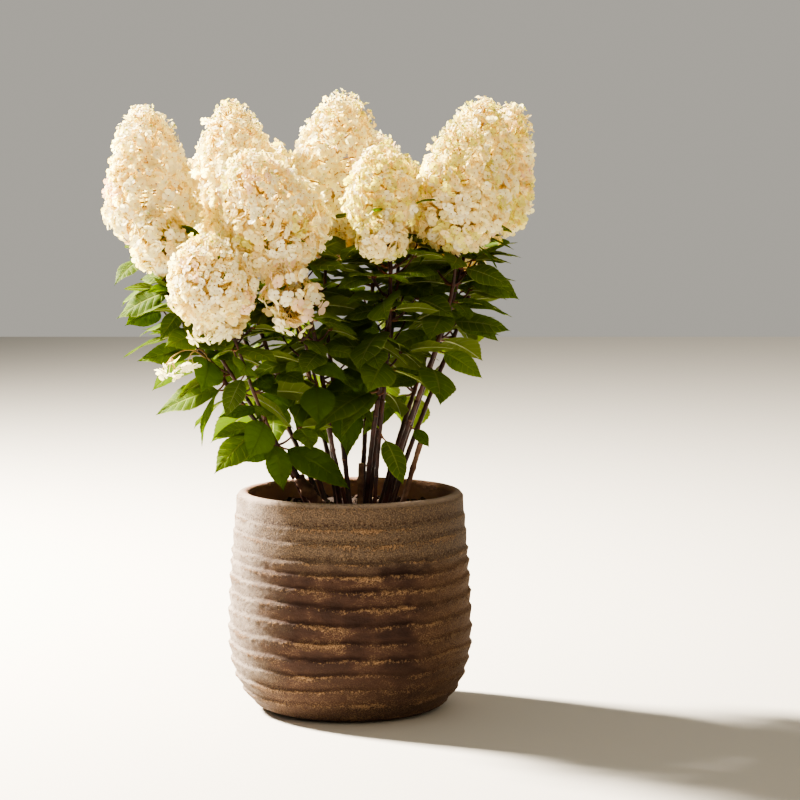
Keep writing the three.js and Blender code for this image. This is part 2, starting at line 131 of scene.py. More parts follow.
# A floret: how far it strays round its bloom, its tilt and lift, its least and greatest size, its size at a
# bloom's tip, how many have a tint of their own, and how far the lowest hang, over which share of a bloom.
FLORET = Sizes(stray=0.06, tilt=0.52, lift=0.1, sizes=(0.74, 1.14), tip_size=0.62, own_tint=0.45, hang=0.008,
               hang_share=0.1)

# A loose spray: how far its twig ends above its middle, how it bows, its radii, how its florets turn and lean
# to the front, and their size.
SPRAY = Sizes(above=0.014, bow=0.012, twig=(0.0013, 0.0008), turn=0.006, lean=0.008, petal=(0.007, 0.009))


def cane_row(name, foot, tip, radius, bare, turn, scale=1, root=None, fork=0, lime=0.03, blush=0.08, petal=1,
             dense=1, gap=None, widest=0.28, round_foot=2):
    """One cane: its bloom's foot, tip and widest radius, its bare share, and its lowest leaves' bearing.
    lime and blush are the shares of its bloom's sprays that are greener or pinker, petal and dense its
    florets' size and number, gap the share of height and the bearing of a hole where its stalks show, widest
    the share of height where it is widest, and round_foot how round it is under that, from 1 for a cone."""
    return Sizes(**locals())


CANES = [
    cane_row("left_tall", (-0.234, -0.020, 0.572), (-0.248, -0.022, 0.740), 0.059, 0.4, 195, 0.92, fork=-1,
             gap=(0.2, -68), widest=0.2),
    cane_row("left_low", (-0.212, -0.060, 0.541), (-0.241, -0.080, 0.612), 0.036, 0.46, 150, 0.8, petal=1.15),
    cane_row("back_left", (-0.135, 0.060, 0.560), (-0.148, 0.072, 0.744), 0.061, 0.5, 120),
    cane_row("back_middle", (-0.029, 0.058, 0.550), (-0.006, 0.070, 0.755), 0.069, 0.49, 75, lime=0.12),
    cane_row("front_middle", (-0.067, -0.068, 0.546), (-0.124, -0.136, 0.680), 0.066, 0.5, 30),
    cane_row("front_left", (-0.137, -0.088, 0.465), (-0.175, -0.156, 0.580), 0.057, 0.2, 170, 0.85, fork=1,
             gap=(0.16, -60), widest=0.52, round_foot=0.9),
    cane_row("front_low", (-0.061, -0.096, 0.487), (-0.080, -0.146, 0.556), 0.037, 0.62, 100, 0.75,
             root=(-0.003, -0.032), blush=0.55, petal=1.35, dense=0.62),
    cane_row("middle_lime", (0.047, -0.066, 0.588), (0.034, -0.106, 0.688), 0.050, 0.4, 12, lime=0.85),
    cane_row("middle_low", (0.045, -0.084, 0.564), (0.034, -0.132, 0.608), 0.031, 0.42, 60, 0.75,
             root=(0.030, -0.044), lime=0.4),
    cane_row("right_front", (0.129, -0.042, 0.564), (0.130, -0.092, 0.716), 0.057, 0.42, 8, lime=0.4),
    cane_row("centre_right", (0.060, 0.062, 0.560), (0.064, 0.076, 0.676), 0.048, 0.5, 25, lime=0.3),
    cane_row("right_middle", (0.144, 0.032, 0.582), (0.165, 0.044, 0.748), 0.056, 0.46, 40, lime=0.35),
    cane_row("right_back", (0.168, 0.108, 0.570), (0.206, 0.126, 0.740), 0.048, 0.5, 65, lime=0.35),
    cane_row("rear_left", (-0.164, 0.126, 0.520), (-0.202, 0.174, 0.640), 0.047, 0.42, 130),
    cane_row("rear_inner", (-0.086, 0.148, 0.548), (-0.108, 0.202, 0.692), 0.056, 0.5, 100),
    cane_row("rear_middle", (0.028, 0.158, 0.552), (0.032, 0.212, 0.702), 0.056, 0.5, 80),
    cane_row("rear_right", (0.120, 0.150, 0.520), (0.146, 0.206, 0.652), 0.051, 0.46, 50),
]

CUT_CANES = [
    Sizes(name="cut_cane_middle", root=(0.012, -0.004), tip=(0.014, -0.005, 0.301), radius=0.0036),
    Sizes(name="cut_cane_right", root=(0.062, -0.004), tip=(0.086, -0.002, 0.326), radius=0.0032),
]

# Small leaves among a bloom's florets: how far out they start, their roll and their stalk, and for each the
# cane, share up the bloom, bearing and rise in degrees, and length.
BRACT = Sizes(out=0.72, roll=20, petiole=0.008)
BRACTS = [
    ("left_tall", 0.13, -40, -14, 0.036),
    ("left_tall", 0.10, -75, -48, 0.027),
    ("middle_lime", 0.28, -35, 24, 0.030),
    ("middle_lime", 0.24, -100, 10, 0.024),
    ("front_middle", 0.06, -50, -22, 0.034),
    ("right_front", 0.05, -30, -30, 0.036),
    ("right_front", 0.03, 210, -20, 0.034),
    ("rear_inner", 0.08, 70, -10, 0.034),
    ("rear_middle", 0.06, 110, -12, 0.036),
]

# Sprays of loose florets: cane, share up its line, middle, number of florets and their spread.
STRAY_SPRAYS = [
    ("left_tall", 0.52, (-0.209, -0.100, 0.424), 8, (0.009, 0.006, 0.007)),
    ("left_tall", 0.50, (-0.186, -0.100, 0.428), 4, (0.005, 0.005, 0.004)),
    ("front_left", 0.95, (-0.166, -0.124, 0.467), 16, (0.013, 0.010, 0.008)),
    ("front_low", 0.97, (-0.068, -0.124, 0.480), 9, (0.010, 0.008, 0.007)),
]

# Single leaves that the photo shows well: cane, share up its line, bearing and rise in degrees, length, and
# the roll in degrees that turns the blade's face to the front.
SINGLE_LEAVES = [
    ("left_low", 0.92, 183, -15, 0.070, -40),
    ("left_low", 0.86, -133, -36, 0.044, -30),
    ("left_tall", 0.56, -160, 4, 0.064, -40),
    ("left_tall", 0.40, -168, -8, 0.078, -34),
    ("left_tall", 0.48, 141, -17, 0.022, -20),
    ("front_left", 0.74, -120, -42, 0.050, -20),
    ("back_left", 0.44, -117, -2, 0.076, -25),
    ("left_low", 0.34, -153, 2, 0.050, -35),
    ("left_tall", 0.22, -132, -24, 0.070, -30),
    ("left_low", 0.24, -132, 5, 0.058, -20),
    ("front_left", 0.30, -108, -56, 0.056, 10),
    ("right_front", 0.93, -26, -8, 0.058, 38),
    ("right_middle", 0.86, -32, -13, 0.068, 38),
    ("right_front", 0.72, -18, 5, 0.066, 34),
    ("right_front", 0.62, -37, -17, 0.056, 36),
    ("right_front", 0.68, -141, -1, 0.060, -28),
    ("middle_lime", 0.56, -150, 15, 0.075, -30),
    ("right_front", 0.50, -137, 4, 0.040, -30),
    ("middle_low", 0.30, -54, -40, 0.059, 5),
    ("right_front", 0.33, -53, -25, 0.030, 25),
]


def chance(seed, index):
    """A number from 0 to 1 that is always the same for the same seed and index."""
    wave = math.sin(seed * 127.1 + index * 311.7) * 43758.5453
    return wave - math.floor(wave)


def scatter(seed, index):
    """The same, as a number from -1 to 1."""
    return 2 * chance(seed, index) - 1


def mix(low, high, share):
    """The value that lies a share of the way from low to high."""
    return low + (high - low) * share


def smooth(share):
    """A share that starts and ends gently."""
    share = np.clip(share, 0, 1)
    return share * share * (3 - 2 * share)


def unit(vectors):
    """The same directions with a length of one."""
    return vectors / np.linalg.norm(vectors, axis=-1, keepdims=True)


def heading(degrees):
    """The level direction at a bearing."""
    turn = math.radians(degrees)
    return np.array([math.cos(turn), math.sin(turn), 0])


def distances(points):
    """How far along a run of points each of them lies."""
    return np.concatenate([[0], np.cumsum(np.linalg.norm(np.diff(points, axis=0), axis=1))])


def roughness(points, size, octaves=3):
    """Fractal noise from about -1 to 1 at each point, with bumps of a size."""
    return np.array([noise.fractal(Vector(p), 1.0, 2.0, octaves) for p in points / size])


def keep_in_box(points, inset):
    """The same points, none of them nearer than an inset to the sides of the solids' box."""
    return np.clip(points, np.array(cad_box[0]) + inset, np.array(cad_box[1]) - inset)


class Line:
    """A smooth curve that is measured by its length: t is 0 at its start and 1 at its end."""

    def __init__(self, start, low, high, end, samples=200):
        s = np.linspace(0, 1, samples + 1)[:, None]
        weights = (1 - s) ** 3, 3 * (1 - s) ** 2 * s, 3 * (1 - s) * s * s, s ** 3
        self.points = sum(w * np.array(p, float) for w, p in zip(weights, (start, low, high, end)))
        self.run = distances(self.points)
        self.length = self.run[-1]

    def at(self, t):
        """The points at the given shares of the length."""
        wanted = np.clip(t, 0, 1) * self.length
        return np.stack([np.interp(wanted, self.run, self.points[:, k]) for k in range(3)], axis=-1)


class Pile:
    """Many small meshes that are joined into one piece."""

    def __init__(self):
        self.parts = []

    def add(self, corners, faces, marks=None):
        """Adds a mesh. marks are two numbers a corner, for a pattern that follows the shape."""
        self.parts.append((corners, faces, marks))

    def add_alike(self, corners, faces):
        """Adds meshes that differ only in their corners, of which each mesh has a row."""
        count, size = corners.shape[:2]
        starts = (np.arange(count) * size)[:, None, None]
        self.add(corners.reshape(-1, 3), (faces[None] + starts).reshape(-1, 3))

    def add_copies(self, corners, faces, centres, frames, sizes):
        """Adds copies of a small mesh, each with its own centre, three axes and size."""
        turned = np.einsum("vk,nkc->nvc", corners, frames) * np.reshape(sizes, (-1, 1, 1))
        self.add_alike(turned + centres[:, None], faces)

    def chunks(self, most=180000):
        """The parts in groups of a limited number of triangles."""
        group, count = [], 0
        for part in self.parts:
            if group and count + len(part[1]) > most:
                yield group
                group, count = [], 0
            group.append(part)
            count += len(part[1])
        if group:
            yield group


def grid_faces(rows, columns, wrap=False):
    """Triangles over a grid of corners, counted row by row, whose last column may join its first."""
    row = np.arange(rows - 1)[:, None]
    column = np.arange(columns if wrap else columns - 1)[None, :]
    here = row * columns + column
    beside = row * columns + (column + 1) % columns
    across = beside + columns
    return np.stack([here, beside, across, here, across, here + columns], -1).reshape(-1, 3)


def axes_across(forward):
    """Two directions across each given one, so that across, beside and forward are right handed."""
    steady = np.eye(3)[np.argmin(np.abs(forward.reshape(-1, 3).mean(0)))]
    across = unit(steady - forward * (forward @ steady)[..., None])
    return across, np.cross(forward, across)


def spokes(sides, across=(1, 0, 0), beside=(0, 1, 0)):
    """Directions all the way round, from across by way of beside: a ring of them for each pair of axes."""
    angle = np.arange(sides) / sides * 2 * math.pi
    across, beside = (np.array(axis)[..., None, :] for axis in (across, beside))
    return np.cos(angle)[:, None] * across + np.sin(angle)[:, None] * beside


def capped(rings, foot, head):
    """A closed skin over rings of corners, from a point in the middle of the first to one in the last."""
    count, sides = rings.shape[:2]
    around = np.arange(sides)
    after = (around + 1) % sides
    last, middle = (count - 1) * sides, np.full(sides, count * sides)
    low = np.stack([after, around, middle], -1)
    high = np.stack([last + around, last + after, middle + 1], -1)
    return (np.concatenate([rings.reshape(-1, 3), [foot, head]]),
            np.concatenate([grid_faces(count, sides, wrap=True), low, high]))


def ball(turns, sides):
    """Rings of corners on a ball of radius 1, one for each turn from its foot, 0, to its top, pi."""
    turns = turns[:, None, None]
    return spokes(sides) * np.sin(turns) - UP * np.cos(turns)


def tube(points, radii, sides):
    """A closed tube of rings about a run of points, with a radius for each ring."""
    across, beside = axes_across(unit(np.gradient(points, axis=0)))
    out = spokes(sides, across, beside) * np.reshape(radii, (-1, 1, 1))
    return capped(points[:, None] + out, points[0], points[-1])


def link(name, data):
    """A new object in the scene, made of a mesh, a light or a camera."""
    made = bpy.data.objects.new(name, data)
    bpy.context.scene.collection.objects.link(made)
    return made


def piece(name, parts, skin, slot, replaced=(), values=None):
    """Builds one object of the part from meshes, with its material, body and the nodes it replaces. Its slot
    is not used.
    """
    starts = np.cumsum([0] + [len(corners) for corners, _, _ in parts[:-1]])
    corners = np.concatenate([part[0] for part in parts])
    faces = np.concatenate([part[1] + start for part, start in zip(parts, starts)])
    mesh = bpy.data.meshes.new(name)
    mesh.from_pydata(corners, [], faces)
    if parts[0][2] is not None:
        marks = np.concatenate([part[2] for part in parts])
        layer = mesh.uv_layers.new(name="blade")
        layer.data.foreach_set("uv", marks[faces.ravel()].astype(np.float32).ravel())
    for key, numbers in (values or {}).items():
        mesh.attributes.new(key, "FLOAT", "POINT").data.foreach_set("value", numbers.astype(np.float32))
    mesh.shade_smooth()
    mesh.materials.append(skin)
    made = link(name, mesh)
    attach(made, "root")
    if replaced:
        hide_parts(*replaced)


def pieces(name, pile, skin, slot, replaced=()):
    """Builds a pile as one object, or as several where it has too many triangles for one."""
    for number, parts in enumerate(pile.chunks(), start=1):
        piece(f"{name}_{number}", parts, skin, slot, replaced)


# Materials.


def colour(code):
    """An sRGB hex colour as linear red, green, blue and alpha."""
    parts = [int(code[k:k + 2], 16) / 255 for k in (1, 3, 5)]
    return [c / 12.92 if c <= 0.04045 else ((c + 0.055) / 1.055) ** 2.4 for c in parts] + [1]


def add_node(tree, kind, inputs=(), out=None, **settings):
    """Adds a node with its settings, and returns the output that is named, or else the first live one. Inputs
    go by name or in the live ones' order, and each is a value, a hex colour or the socket that feeds it."""
    made = tree.nodes.new("ShaderNode" + kind)
    for name, value in settings.items():
        setattr(made, name, value)
    live = [socket for socket in made.inputs if socket.enabled]
    if isinstance(inputs, dict):
        live, inputs = [made.inputs[name] for name in inputs], inputs.values()
    for socket, value in zip(live, inputs):
        if isinstance(value, bpy.types.NodeSocket):
            tree.links.new(value, socket)
        else:
            socket.default_value = colour(value) if isinstance(value, str) else value
    return made.outputs[out] if out else next((socket for socket in made.outputs if socket.enabled), None)


def material(name, recipe, *looks):
    """A material. Its recipe gets the function that adds a node, the place on the object and the looks that
    tell it from others of its kind, and returns the shader."""
    made = bpy.data.materials.new(name)
    made.use_nodes = True
    made.node_tree.nodes.clear()
    add = partial(add_node, made.node_tree)
    add("OutputMaterial", [recipe(add, add("TexCoord", out="Object"), *looks)])
    return made


def weathered_terracotta(add, place):
    """Hand-coiled, weathered terracotta: chalky and sandy above, smooth brown hollows under crusty ridges,
    with painted sunlight on the left side, painted shade in the grooves and pits, and a painted highlight on
    the lip.
    """
    sideways, height = (add("SeparateXYZ", [place], axis) for axis in "XZ")
    crest, inside = (add("Attribute", out="Fac", attribute_name=name) for name in ("crest", "inside"))
    # Stains run in bands 50 mm wide and half as tall, crust breaks up over 3 mm, and sand is drawn at 1.4 mm.
    stretched = add("Mapping", {"Vector": place, "Scale": (1, 1, 2)})
    stains = add("TexNoise", {"Vector": stretched, "Scale": 1 / 0.05, "Detail": 6, "Roughness": 0.6})
    flakes = add("TexNoise", {"Vector": place, "Scale": 1 / 0.003, "Detail": 4, "Roughness": 0.7})
    grains = add("TexNoise", {"Vector": place, "Scale": 1 / 0.0014, "Detail": 2})
    pits = add("TexVoronoi", {"Vector": place, "Scale": 1 / 0.006})

    # Lime has made the top bands chalky, and the left side is painted paler as painted sunlight; the right
    # side and the foot are sandier.
    ragged = add("Math", (stains, 0.06, height), operation="MULTIPLY_ADD")
    across = add("Math", (stains, 0.1, sideways), operation="MULTIPLY_ADD")
    # This mask marks the left side, where sunlight is painted on as a paler chalk.
    left = add("MapRange", (across, -0.02, -0.075, 0, 0.85))
    right = add("MapRange", (across, 0.12, 0.175, 0, 0.9))
    upper = add("Math", (add("MapRange", (ragged, 0.212, 0.236)), left), operation="MAXIMUM")
    foot = add("MapRange", (ragged, 0.105, 0.055))
    patch = add("Math", (add("MapRange", (stains, 0.52, 0.6, 0, 0.9)), upper), operation="MAXIMUM")
    patch = add("Math", (foot, 0.6, patch), operation="MULTIPLY_ADD", use_clamp=True)
    patch = add("Math", (patch, right), operation="MAXIMUM")
    sand = add("Math", (add("MapRange", (grains, 0.5, 0.62, 0, 0.62)), patch), operation="MULTIPLY")
    soot = add("Math", (add("MapRange", (grains, 0.45, 0.34, 0, 0.75)), patch), operation="MULTIPLY")

    broken = add("Math", (flakes, 2.2, crest), operation="MULTIPLY_ADD")
    worn = add("Math", (stains, 1.5, broken), operation="MULTIPLY_ADD")
    crust = add("MapRange", (worn, 2.6, 2.78, 0, 0.85))
    # Painted shade darkens the grooves under the ridges of the top bands and of the left side.
    groove = add("Math", (add("MapRange", (crest, 0.32, 0.02, 0, 0.95)), upper), operation="MULTIPLY")
    crevice = add("Math", (groove, add("MapRange", (flakes, 0.47, 0.58))), operation="MULTIPLY")
    # The pits are dented and also painted darker, as painted shade in them.
    pitted = add("MapRange", (pits, 0.17, 0.06, 0, 0.75))
    # The top of the lip is painted paler, a painted highlight.
    rubbed = add("MapRange", (height, PLANTER.height - PLANTER.lip, PLANTER.height - 0.0015, 0, 0.75))

    # The clay's colours lie over one another, from the smooth hollows to the lip's painted highlight and the
    # bare inside, with painted shade in the grooves and pits.
    chalky = add("Mix", (stains, "#43382f", "#594c41"), data_type="RGBA")
    # The far left's pale chalk is painted sunlight; the top bands in the middle keep the plain chalky tone.
    limed = add("Mix", (grains, "#94867a", "#beb2a4"), data_type="RGBA")
    chalk = add("Mix", (add("MapRange", (across, -0.045, -0.115)), chalky, limed), data_type="RGBA")
    tan = add("Mix", (add("MapRange", (grains, 0.4, 0.6)), "#56412f", "#886c50"), data_type="RGBA")
    bare = add("Mix", (stains, "#7a5646", "#9c7a66"), data_type="RGBA")
    browned = add("MapRange", (stains, 0.4, 0.62))
    sandy = add("MapRange", (across, 0.125, 0.18, 0, 0.7))
    tone = "#2b1b15"
    for share, over in ((browned, "#453026"), (foot, "#3d2a20"), (sandy, "#5f4632"), (upper, chalk),
                        (sand, "#7c654b"), (soot, "#35261e"), (crust, tan), (crevice, "#2b1a12"),
                        (pitted, "#33211a"), (rubbed, "#a39182"), (inside, bare)):
        tone = add("Mix", (share, tone, over), data_type="RGBA")

    relief = add("Math", (crust, 0.9, flakes), operation="MULTIPLY_ADD")
    flaky = add("Bump", {"Height": relief, "Strength": 0.9, "Distance": 0.0015})
    grainy = add("Bump", {"Height": grains, "Strength": 0.7, "Distance": 0.0006, "Normal": flaky})
    dented = add("Bump", {"Height": pitted, "Strength": 0.6, "Distance": 0.0006, "Normal": grainy},
                 invert=True)
    return add("BsdfPrincipled", {"Base Color": tone, "Roughness": 0.88, "IOR": 1.5,
                                  "Specular IOR Level": 0.25, "Normal": dented})


def potting_soil(add, place, dark, light):
    """Damp peaty compost: crumbly, dark and dull, with paler fibres."""
    # Crumbs are 3 mm and fibres 1 mm across.
    crumbs = add("TexNoise", {"Vector": place, "Scale": 1 / 0.003, "Detail": 5})
    fibres = add("TexNoise", {"Vector": place, "Scale": 1 / 0.001, "Detail": 3})
    tone = add("Mix", (add("MapRange", (fibres, 0.45, 0.75)), dark, light), data_type="RGBA")
    bumps = add("Bump", {"Height": crumbs, "Strength": 0.9, "Distance": 0.0015})
    return add("BsdfPrincipled", {"Base Color": tone, "Roughness": 0.95, "Specular IOR Level": 0.2,
                                  "Normal": bumps})


def bark(add, place, dark, light, shine):
    """Thin woody bark: finely grooved along the stem, with small raised pores, and a dull sheen."""
    # Fibres are 0.8 mm apart and 12 mm long. Pores are 2.5 mm apart.
    drawn_out = add("Mapping", {"Vector": place, "Scale": (1 / 0.0008, 1 / 0.0008, 1 / 0.012)})
    fibres = add("TexNoise", {"Vector": drawn_out, "Scale": 1, "Detail": 3})
    pores = add("TexVoronoi", {"Vector": place, "Scale": 1 / 0.0025})
    blotches = add("TexNoise", {"Vector": place, "Scale": 1 / 0.014, "Detail": 3})
    tone = add("Mix", (add("MapRange", (blotches, 0.4, 0.75)), dark, light), data_type="RGBA")
    grooves = add("Bump", {"Height": fibres, "Strength": 0.5, "Distance": 0.0004})
    pored = add("Bump", {"Height": pores, "Strength": 0.25, "Distance": 0.0004, "Normal": grooves},
                invert=True)
    return add("BsdfPrincipled", {"Base Color": tone, "Roughness": shine, "IOR": 1.45, "Normal": pored})


def leaf_skin(add, place, blade, vein, shine, lit):
    """A live leaf's skin: waxy, netted with paler veins, with a painted highlight along its rim, and yellow
    green where light comes through.
    """
    marks = add("UVMap", uv_map="blade")
    along, away = (add("SeparateXYZ", [marks], axis) for axis in "XY")
    side_vein = add("MapRange", (add("Math", (along, 0.5), operation="PINGPONG"), 0.1, 0.02, 0, 0.7))
    midrib = add("MapRange", (away, 0.1, 0.03))
    # The blade's rim is painted lighter, a painted highlight along its edge.
    rim = add("MapRange", (away, 0.9, 1.0, 0, 0.8))
    veined = add("Math", (side_vein, midrib), operation="MAXIMUM")
    marked = add("Math", (veined, rim), operation="MAXIMUM")
    # The finest net of veins has meshes of 2.5 mm, and the blade's tone shifts over 30 mm.
    net = add("TexVoronoi", {"Vector": place, "Scale": 1 / 0.0025}, feature="DISTANCE_TO_EDGE")
    shift = add("TexNoise", {"Vector": place, "Scale": 1 / 0.03, "Detail": 2})
    tone = blade
    for share in (add("MapRange", (shift, 0.3, 0.7, 0, 0.25)), marked):
        tone = add("Mix", (share, tone, vein), data_type="RGBA")
    through = add("Mix", (marked, lit, vein), data_type="RGBA")
    raised = add("Bump", {"Height": veined, "Strength": 0.8, "Distance": 0.0006}, invert=True)
    netted = add("Bump", {"Height": net, "Strength": 0.6, "Distance": 0.0005, "Normal": raised})
    skin = add("BsdfPrincipled", {"Base Color": tone, "Roughness": shine, "IOR": 1.42,
                                  "Specular IOR Level": 0.025, "Normal": netted})
    return add("MixShader", (0.46, skin, add("BsdfTranslucent", {"Color": through, "Normal": netted})))


def petal_skin(add, place, tone, lit):
    """A fresh petal: matt and velvety, and thin enough that light glows through it."""
    # The petals' fine veins are 0.6 mm apart, drawn at 1.2 mm so that they show at all.
    veins = add("TexNoise", {"Vector": place, "Scale": 1 / 0.0012, "Detail": 2})
    bumps = add("Bump", {"Height": veins, "Strength": 0.3, "Distance": 0.0003})
    skin = add("BsdfPrincipled", {"Base Color": tone, "Roughness": 0.62, "IOR": 1.4,
                                  "Specular IOR Level": 0.3, "Sheen Weight": 0.15, "Normal": bumps})
    return add("MixShader", (0.45, skin, add("BsdfTranslucent", {"Color": lit})))


def cut_wood(add, place):
    """The sawn end of a cane: pale, dry wood with grain rings 0.7 mm apart."""
    grain = add("TexNoise", {"Vector": place, "Scale": 1 / 0.0007, "Detail": 2})
    tone = add("Mix", (grain, "#a98c68", "#d2bb95"), data_type="RGBA")
    bumps = add("Bump", {"Height": grain, "Strength": 0.4, "Distance": 0.0003})
    return add("BsdfPrincipled", {"Base Color": tone, "Roughness": 0.8, "Normal": bumps})


def matt_paint(add, _):
    """The studio floor's board: smooth, matt, off-white paint, the same all over."""
    return add("BsdfPrincipled", {"Base Color": "#c4c0b8", "Roughness": 0.8})


# The planter.

def planter_radius(z):
    """The planter's outer radius at a height, before its bands: a round foot, a belly and a drawn-in neck."""
    p = PLANTER
    below = 1 - np.minimum(z, p.belly_height) / p.belly_height
    above = np.maximum(z - p.belly_height, 0) / (p.height - p.belly_height)
    low = p.foot_radius + (p.belly_radius - p.foot_radius) * np.sqrt(1 - below ** 2)
    return low - (p.belly_radius - p.rim_radius) * above ** 1.6


def band_height(z):
    """How far a band stands out of its groove, from 0 to 1, at a height: a slope out, then a short ledge."""
    edges = np.array((-GROOVES[0],) + GROOVES + (PLANTER.height + BAND.ledge,))
    upper = np.clip(np.searchsorted(edges, z), 1, len(edges) - 1)
    low, high = edges[upper - 1], edges[upper]
    crest = high - BAND.ledge
    return np.where(z < crest, (z - low) / (crest - low), smooth((high - z) / BAND.ledge)).clip(0, 1)


def outer_wall(ring):
    """The planter's outer rows, with their wavering bands, and how near each corner is to a band's crest."""
    p = PLANTER
    z = np.linspace(0, p.height - p.lip, CLAY.outer_rows)[:, None]
    wall = ring * planter_radius(z)[..., None] + z[..., None] * UP
    # The flatness, size and octaves of each unevenness, from the bands' waver down to the gritty crust.
    noises = ((0.8, 0.08, 2), (3, 0.05, 2), (1.5, 0.009, 2), (1, 0.0032, 3))
    waver, swell, lumps, crust = (
        roughness(wall.reshape(-1, 3) * (1, 1, flat), size, octaves).reshape(len(z), -1)
        for flat, size, octaves in noises)
    # The ridges' edges are ragged, so the bands waver by a little over a few millimetres too.
    stand = band_height(z + BAND.waver * waver + 0.4 * BAND.waver * lumps * (z < GROOVES[-3]))
    depth = mix(BAND.relief, BAND.top_relief, smooth((z - GROOVES[-4]) / 0.03))
    relief = depth * (2 * stand - 1) * (0.9 + 0.4 * swell)
    relief = relief + BAND.lump * lumps * stand + BAND.crust * crust * stand ** 3 * (depth / BAND.relief) ** 2
    return wall + ring * (relief * smooth(z / GROOVES[0]))[..., None], stand * (0.88 + 0.3 * swell)


def lip(ring):
    """The rounded lip, a little chipped."""
    p = PLANTER
    turn = np.linspace(0, math.pi, CLAY.lip_rows)[1:, None]
    radius = p.rim_radius - p.wall / 2 + p.wall / 2 * np.cos(turn)
    rows = ring * radius[..., None] + (p.height - p.lip + p.lip * np.sin(turn))[..., None] * UP
    chips = roughness(rows.reshape(-1, 3), 0.01, 3).reshape(rows.shape[:2])
    return rows - UP * (CLAY.chip * np.abs(chips) * np.sin(turn))[..., None]


def inner_wall(ring):
    """The planter's inside, from under the lip down to its floor."""
    p = PLANTER
    z = np.array(CLAY.inner_rows)[:, None]
    radius = np.where(z > p.height / 2, p.rim_radius, planter_radius(z)) - p.wall
    rows = ring * radius[..., None] + z[..., None] * UP
    return rows + ring * (CLAY.dent * roughness(rows.reshape(-1, 3), 0.02)).reshape(*rows.shape[:2], 1)


def planter():
    """The planter's full skin: a flat foot, wavering bands outside, the rounded lip, and a plain inside."""
    ring = spokes(CLAY.segments)[None]
    outer, crest = outer_wall(ring)
    rows = np.concatenate([outer, lip(ring), inner_wall(ring)])
    crests, inside = np.zeros((2, *rows.shape[:2]))
    lip_start = CLAY.outer_rows
    crests[:lip_start] = crest
    crests[lip_start:lip_start + CLAY.lip_rows - 1] = CLAY.lip_crest
    inside[lip_start + CLAY.lip_rows // 2:] = 1
    clay = Pile()
    clay.add(*capped(rows, 0 * UP, PLANTER.floor * UP))
    piece("planter_clay", clay.parts, material("weathered_terracotta", weathered_terracotta), "terracotta",
          ["planter"], {"crest": np.append(crests, [0, 0]), "inside": np.append(inside, [0, 1])})


def clod(rng, squash):
    """A rough crumb about its own centre: a round mesh with its corners pushed in and out."""
    rows, sides = 5, 7
    shape = ball(np.linspace(0, math.pi, rows), sides) * (1, 1, squash)
    shape = shape * rng.uniform(0.7, 1.15, (rows, sides, 1))
    shape[0], shape[-1] = shape[0].mean(0), shape[-1].mean(0)
    corners, joined = np.unique(shape.reshape(-1, 3), axis=0, return_inverse=True)
    faces = joined.ravel()[grid_faces(rows, sides, wrap=True)]
    sound = (faces[:, 0] != faces[:, 1]) & (faces[:, 1] != faces[:, 2]) & (faces[:, 0] != faces[:, 2])
    return corners, faces[sound]


def any_frames(rng, count):
    """Random sets of three axes."""
    axes, _ = np.linalg.qr(rng.normal(size=(count, 3, 3)))
    return axes * np.sign(np.linalg.det(axes))[:, None, None]


def soil():
    """The compost's lumpy surface, with clods and pale bits lying on it."""
    rng = np.random.default_rng(5)
    radius = PLANTER.rim_radius - PLANTER.wall - SEAT
    level = GROUND - SEAT
    reach = np.linspace(0.002, radius, SOIL.rings)[:, None, None]
    top = spokes(SOIL.segments) * reach + level * UP
    flat = top.reshape(-1, 3)
    lumps = roughness(flat, SOIL.lump_width) + SOIL.crumb * roughness(flat, SOIL.crumb_width)
    edge = smooth((radius - np.linalg.norm(flat[:, :2], axis=1)) / SOIL.fade)
    flat[:, 2] += SOIL.lump * lumps * edge
    rows = np.concatenate([top, top[-1:] - SOIL.depth * UP])
    surface = Pile()
    surface.add(*capped(rows, level * UP, (level - SOIL.depth) * UP))
    piece("soil_surface", surface.parts, material("compost", potting_soil, "#1c130d", "#3d2c20"),
          "potting_soil", ["potting_soil"])

    for name, (count, size, squash, skin, tones) in LITTER.items():
        pile = Pile()
        share = count // STREWN.shapes
        for _ in range(STREWN.shapes):
            crumb = clod(rng, squash)
            away = radius * STREWN.reach * np.sqrt(rng.uniform(0, 1, share))
            turn = rng.uniform(0, 2 * math.pi, share)
            centres = np.stack([away * np.cos(turn), away * np.sin(turn), np.full(share, level)], -1)
            centres[:, 2] += SOIL.lump * roughness(centres, SOIL.lump_width)
            sizes = mix(*size, rng.uniform(0, 1, share) ** 2)
            centres[:, 2] += sizes * STREWN.proud
            pile.add_copies(*crumb, centres, any_frames(rng, share), sizes)
        pieces(name, pile, material(skin, potting_soil, *tones), "potting_soil")


# The canes.

def old_wood_ends():
    """The foot and the tip of the old stem, and its direction."""
    foot, tip = np.array([*OLD_WOOD.root, GROUND]), np.array(OLD_WOOD.tip)
    return foot, tip, unit(tip - foot)


def cane_line(row):
    """A cane's whole line, from its root to its bloom's foot, where it runs into the bloom's own axis."""
    foot = np.array(row.foot)
    gathered = mix(np.array([CLUMP.x, CLUMP.y]), foot[:2], CLUMP.gather)
    root = np.array([*(row.root or gathered), GROUND])
    _, tip, axis = old_wood_ends()
    if row.fork:
        across = unit(np.array([1.0, 0, 0]) - axis * axis[0])
        root = tip + axis * SEAT + np.cross(across, axis) * row.fork * OLD_WOOD.fork
    reach = foot - root
    far = np.linalg.norm(reach)
    out = reach * (CANE.spread, CANE.spread, CANE.straight_up)
    low = root + (axis * far * CANE.straight_up if row.fork else out)
    high = foot - unit(np.array(row.tip) - foot) * far * CANE.bend_in
    return Line(root, low, high, foot)


